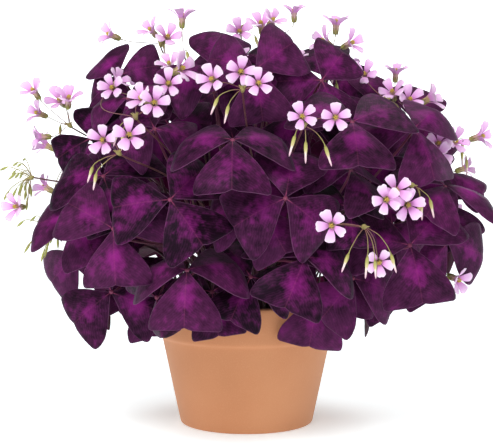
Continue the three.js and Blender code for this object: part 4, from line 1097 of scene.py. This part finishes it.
def terracotta_finish():
    """Unglazed terracotta, pressed and fired: smooth matt clay with faint cloudy patches, very
    fine grit, level turning lines, and a dusty bloom where it is seen aslant."""
    values = {"Sheen Weight": 0.25, "Sheen Roughness": 0.5, "Sheen Tint": linear("#f3d3bd")}
    material, tree, clay = new_finish("unglazed_terracotta", values)
    place = add(tree, "TexCoord")[3]
    cloud = add(tree, "TexNoise", {"Scale": CLAY_CLOUDS, "Detail": 4}, {"Vector": place})[0]
    grit = add(tree, "TexNoise", {"Scale": CLAY_GRIT, "Detail": 2}, {"Vector": place})[0]
    level = add(tree, "Mapping", {"Scale": (3, 3, CLAY_LINES)}, {"Vector": place})
    lines = add(tree, "TexNoise", {"Scale": 1.0, "Detail": 2}, {"Vector": level})[0]
    stops = [(0.3, "#b8774d"), (0.5, "#be7d53"), (0.7, "#c3845a")]
    colour = add(tree, "ValToRGB", None, {0: cloud}, stops)[0]
    share = add(tree, "MapRange", {"From Min": 0.5, "From Max": 0.8, "To Max": 0.2}, {0: grit})[0]
    colour = add(tree, "Mix", {"data_type": "RGBA", 7: linear("#d8a07c")}, {0: share, 6: colour})[2]
    rough = add(tree, "MapRange", {"To Min": 0.68, "To Max": 0.82}, {0: grit})[0]
    height = add(tree, "Math", {"operation": "MULTIPLY_ADD", 1: 0.25}, {0: grit, 2: lines})
    bump = add(tree, "Bump", {"Strength": 0.12, "Distance": 0.0003}, {"Height": height})
    plug(tree, clay, {"Base Color": colour, "Roughness": rough, "Normal": bump})
    return material


def soil_finish():
    """Peaty potting soil: dark, damp and quite matt, with crumbs and pale bits."""
    material, tree, soil = new_finish("potting_soil", {"Roughness": 0.95})
    place = add(tree, "TexCoord")[3]
    crumbs = add(tree, "TexVoronoi", {"Scale": SOIL_CRUMBS}, {"Vector": place})[0]
    bits = add(tree, "TexNoise", {"Scale": SOIL_BITS, "Detail": 4}, {"Vector": place})[0]
    stops = [(0.0, "#1d1410"), (0.55, "#3a2a1f"), (0.72, "#57412f"), (0.8, "#9a8566")]
    colour = add(tree, "ValToRGB", None, {0: bits}, stops)[0]
    height = add(tree, "Math", {"operation": "ADD"}, {0: crumbs, 1: bits})
    bump = add(tree, "Bump", {"Strength": 0.8, "Distance": 0.0015}, {"Height": height})
    plug(tree, soil, {"Base Color": colour, "Normal": bump})
    return material


def floor_finish():
    """Matt white paper with a glow of its own, weaker near the pot, which paints the pot's soft
    shadow there. Farther from the lamps it glows more, so that it stays as white."""
    values = {
        "Base Color": linear("#eaf5f8"),
        "Roughness": 0.9,
        "Emission Color": linear("#ffffff"),
    }
    material, tree, paper = new_finish("studio_paper", values)
    place = add(tree, "TexCoord")[3]
    reach = add(tree, "VectorMath", {"operation": "LENGTH"}, {0: place})[1]
    # The glow is lower within about 45 to 110 mm of the axis: a painted soft shadow round the pot.
    ends = {"From Min": 0.045, "From Max": 0.11, "To Min": 0.36, "To Max": 0.64}
    near = add(tree, "MapRange", {"interpolation_type": "SMOOTHSTEP", **ends}, {0: reach})[0]
    ends = {"From Min": 0.6, "From Max": 2.4, "To Max": 0.42}
    far = add(tree, "MapRange", ends, {0: reach})[0]
    glow_with_painted_shadow = add(tree, "Math", {"operation": "ADD"}, {0: near, 1: far})
    plug(tree, paper, {"Emission Strength": glow_with_painted_shadow})
    return material


# ---------------------------------------- the whole scene


def add_floor():
    """A round floor that curves up into a low wall all round, far behind the plant."""
    outline = [(r, 0.0) for r in FLOOR_RINGS]
    for angle in np.linspace(0, math.pi / 2, 9)[1:]:
        out, up = math.sin(angle), 1 - math.cos(angle)
        outline.append((FLOOR_RINGS[-1] + FLOOR_BEND * out, FLOOR_BEND * up))
    outline.append((FLOOR_RINGS[-1] + FLOOR_BEND, FLOOR_WALL))
    angles = 2 * np.pi * np.arange(FLOOR_SIDES) / FLOOR_SIDES
    points = [(r * math.cos(a), r * math.sin(a), z) for r, z in outline for a in angles]
    faces = [tuple(range(FLOOR_SIDES)), *ring_faces(len(outline), FLOOR_SIDES, flip=True)]
    mesh = bpy.data.meshes.new("studio_floor")
    mesh.from_pydata(points, [], faces)
    mesh.materials.append(floor_finish())
    mesh.polygons.foreach_set("use_smooth", [True] * len(faces))
    floor = add_object("studio_floor", mesh)


add_camera()
add_studio()
add_floor()

# Each leaf finish's last colour is its pale margin, partly painted rim light.
LEAF_FINISHES = [
    leaf_finish(
        "plum_leaf_top", "#10020c", "#4d1b42", "#c8b0d0", "#8e1c7c", "#602c58", "#7c4c70"
    ),
    leaf_finish(
        "maroon_leaf_underside", "#30051f", "#540c3a", "#c58aa8", "#741254", "#682048", "#744464"
    ),
    stem_finish("leafstalk", "#33151f", "#4a1c30", "#7a3150", "#5a3036"),
]
FLOWER_FINISHES = [
    petal_finish(),
    stem_finish("green_to_purple_stem", "#a0a352", "#784648", "#2a101e", "#7c5850"),
    bud_finish(),
    pollen_finish(),
]

add_pot(terracotta_finish())
add_soil(soil_finish())
for node in sorted(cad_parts):
    if node.startswith("leaf_bunch"):
        add_leaf_bunch(node, LEAF_FINISHES)
    if node.startswith("flower_umbel"):
        add_umbel(node, FLOWER_FINISHES)
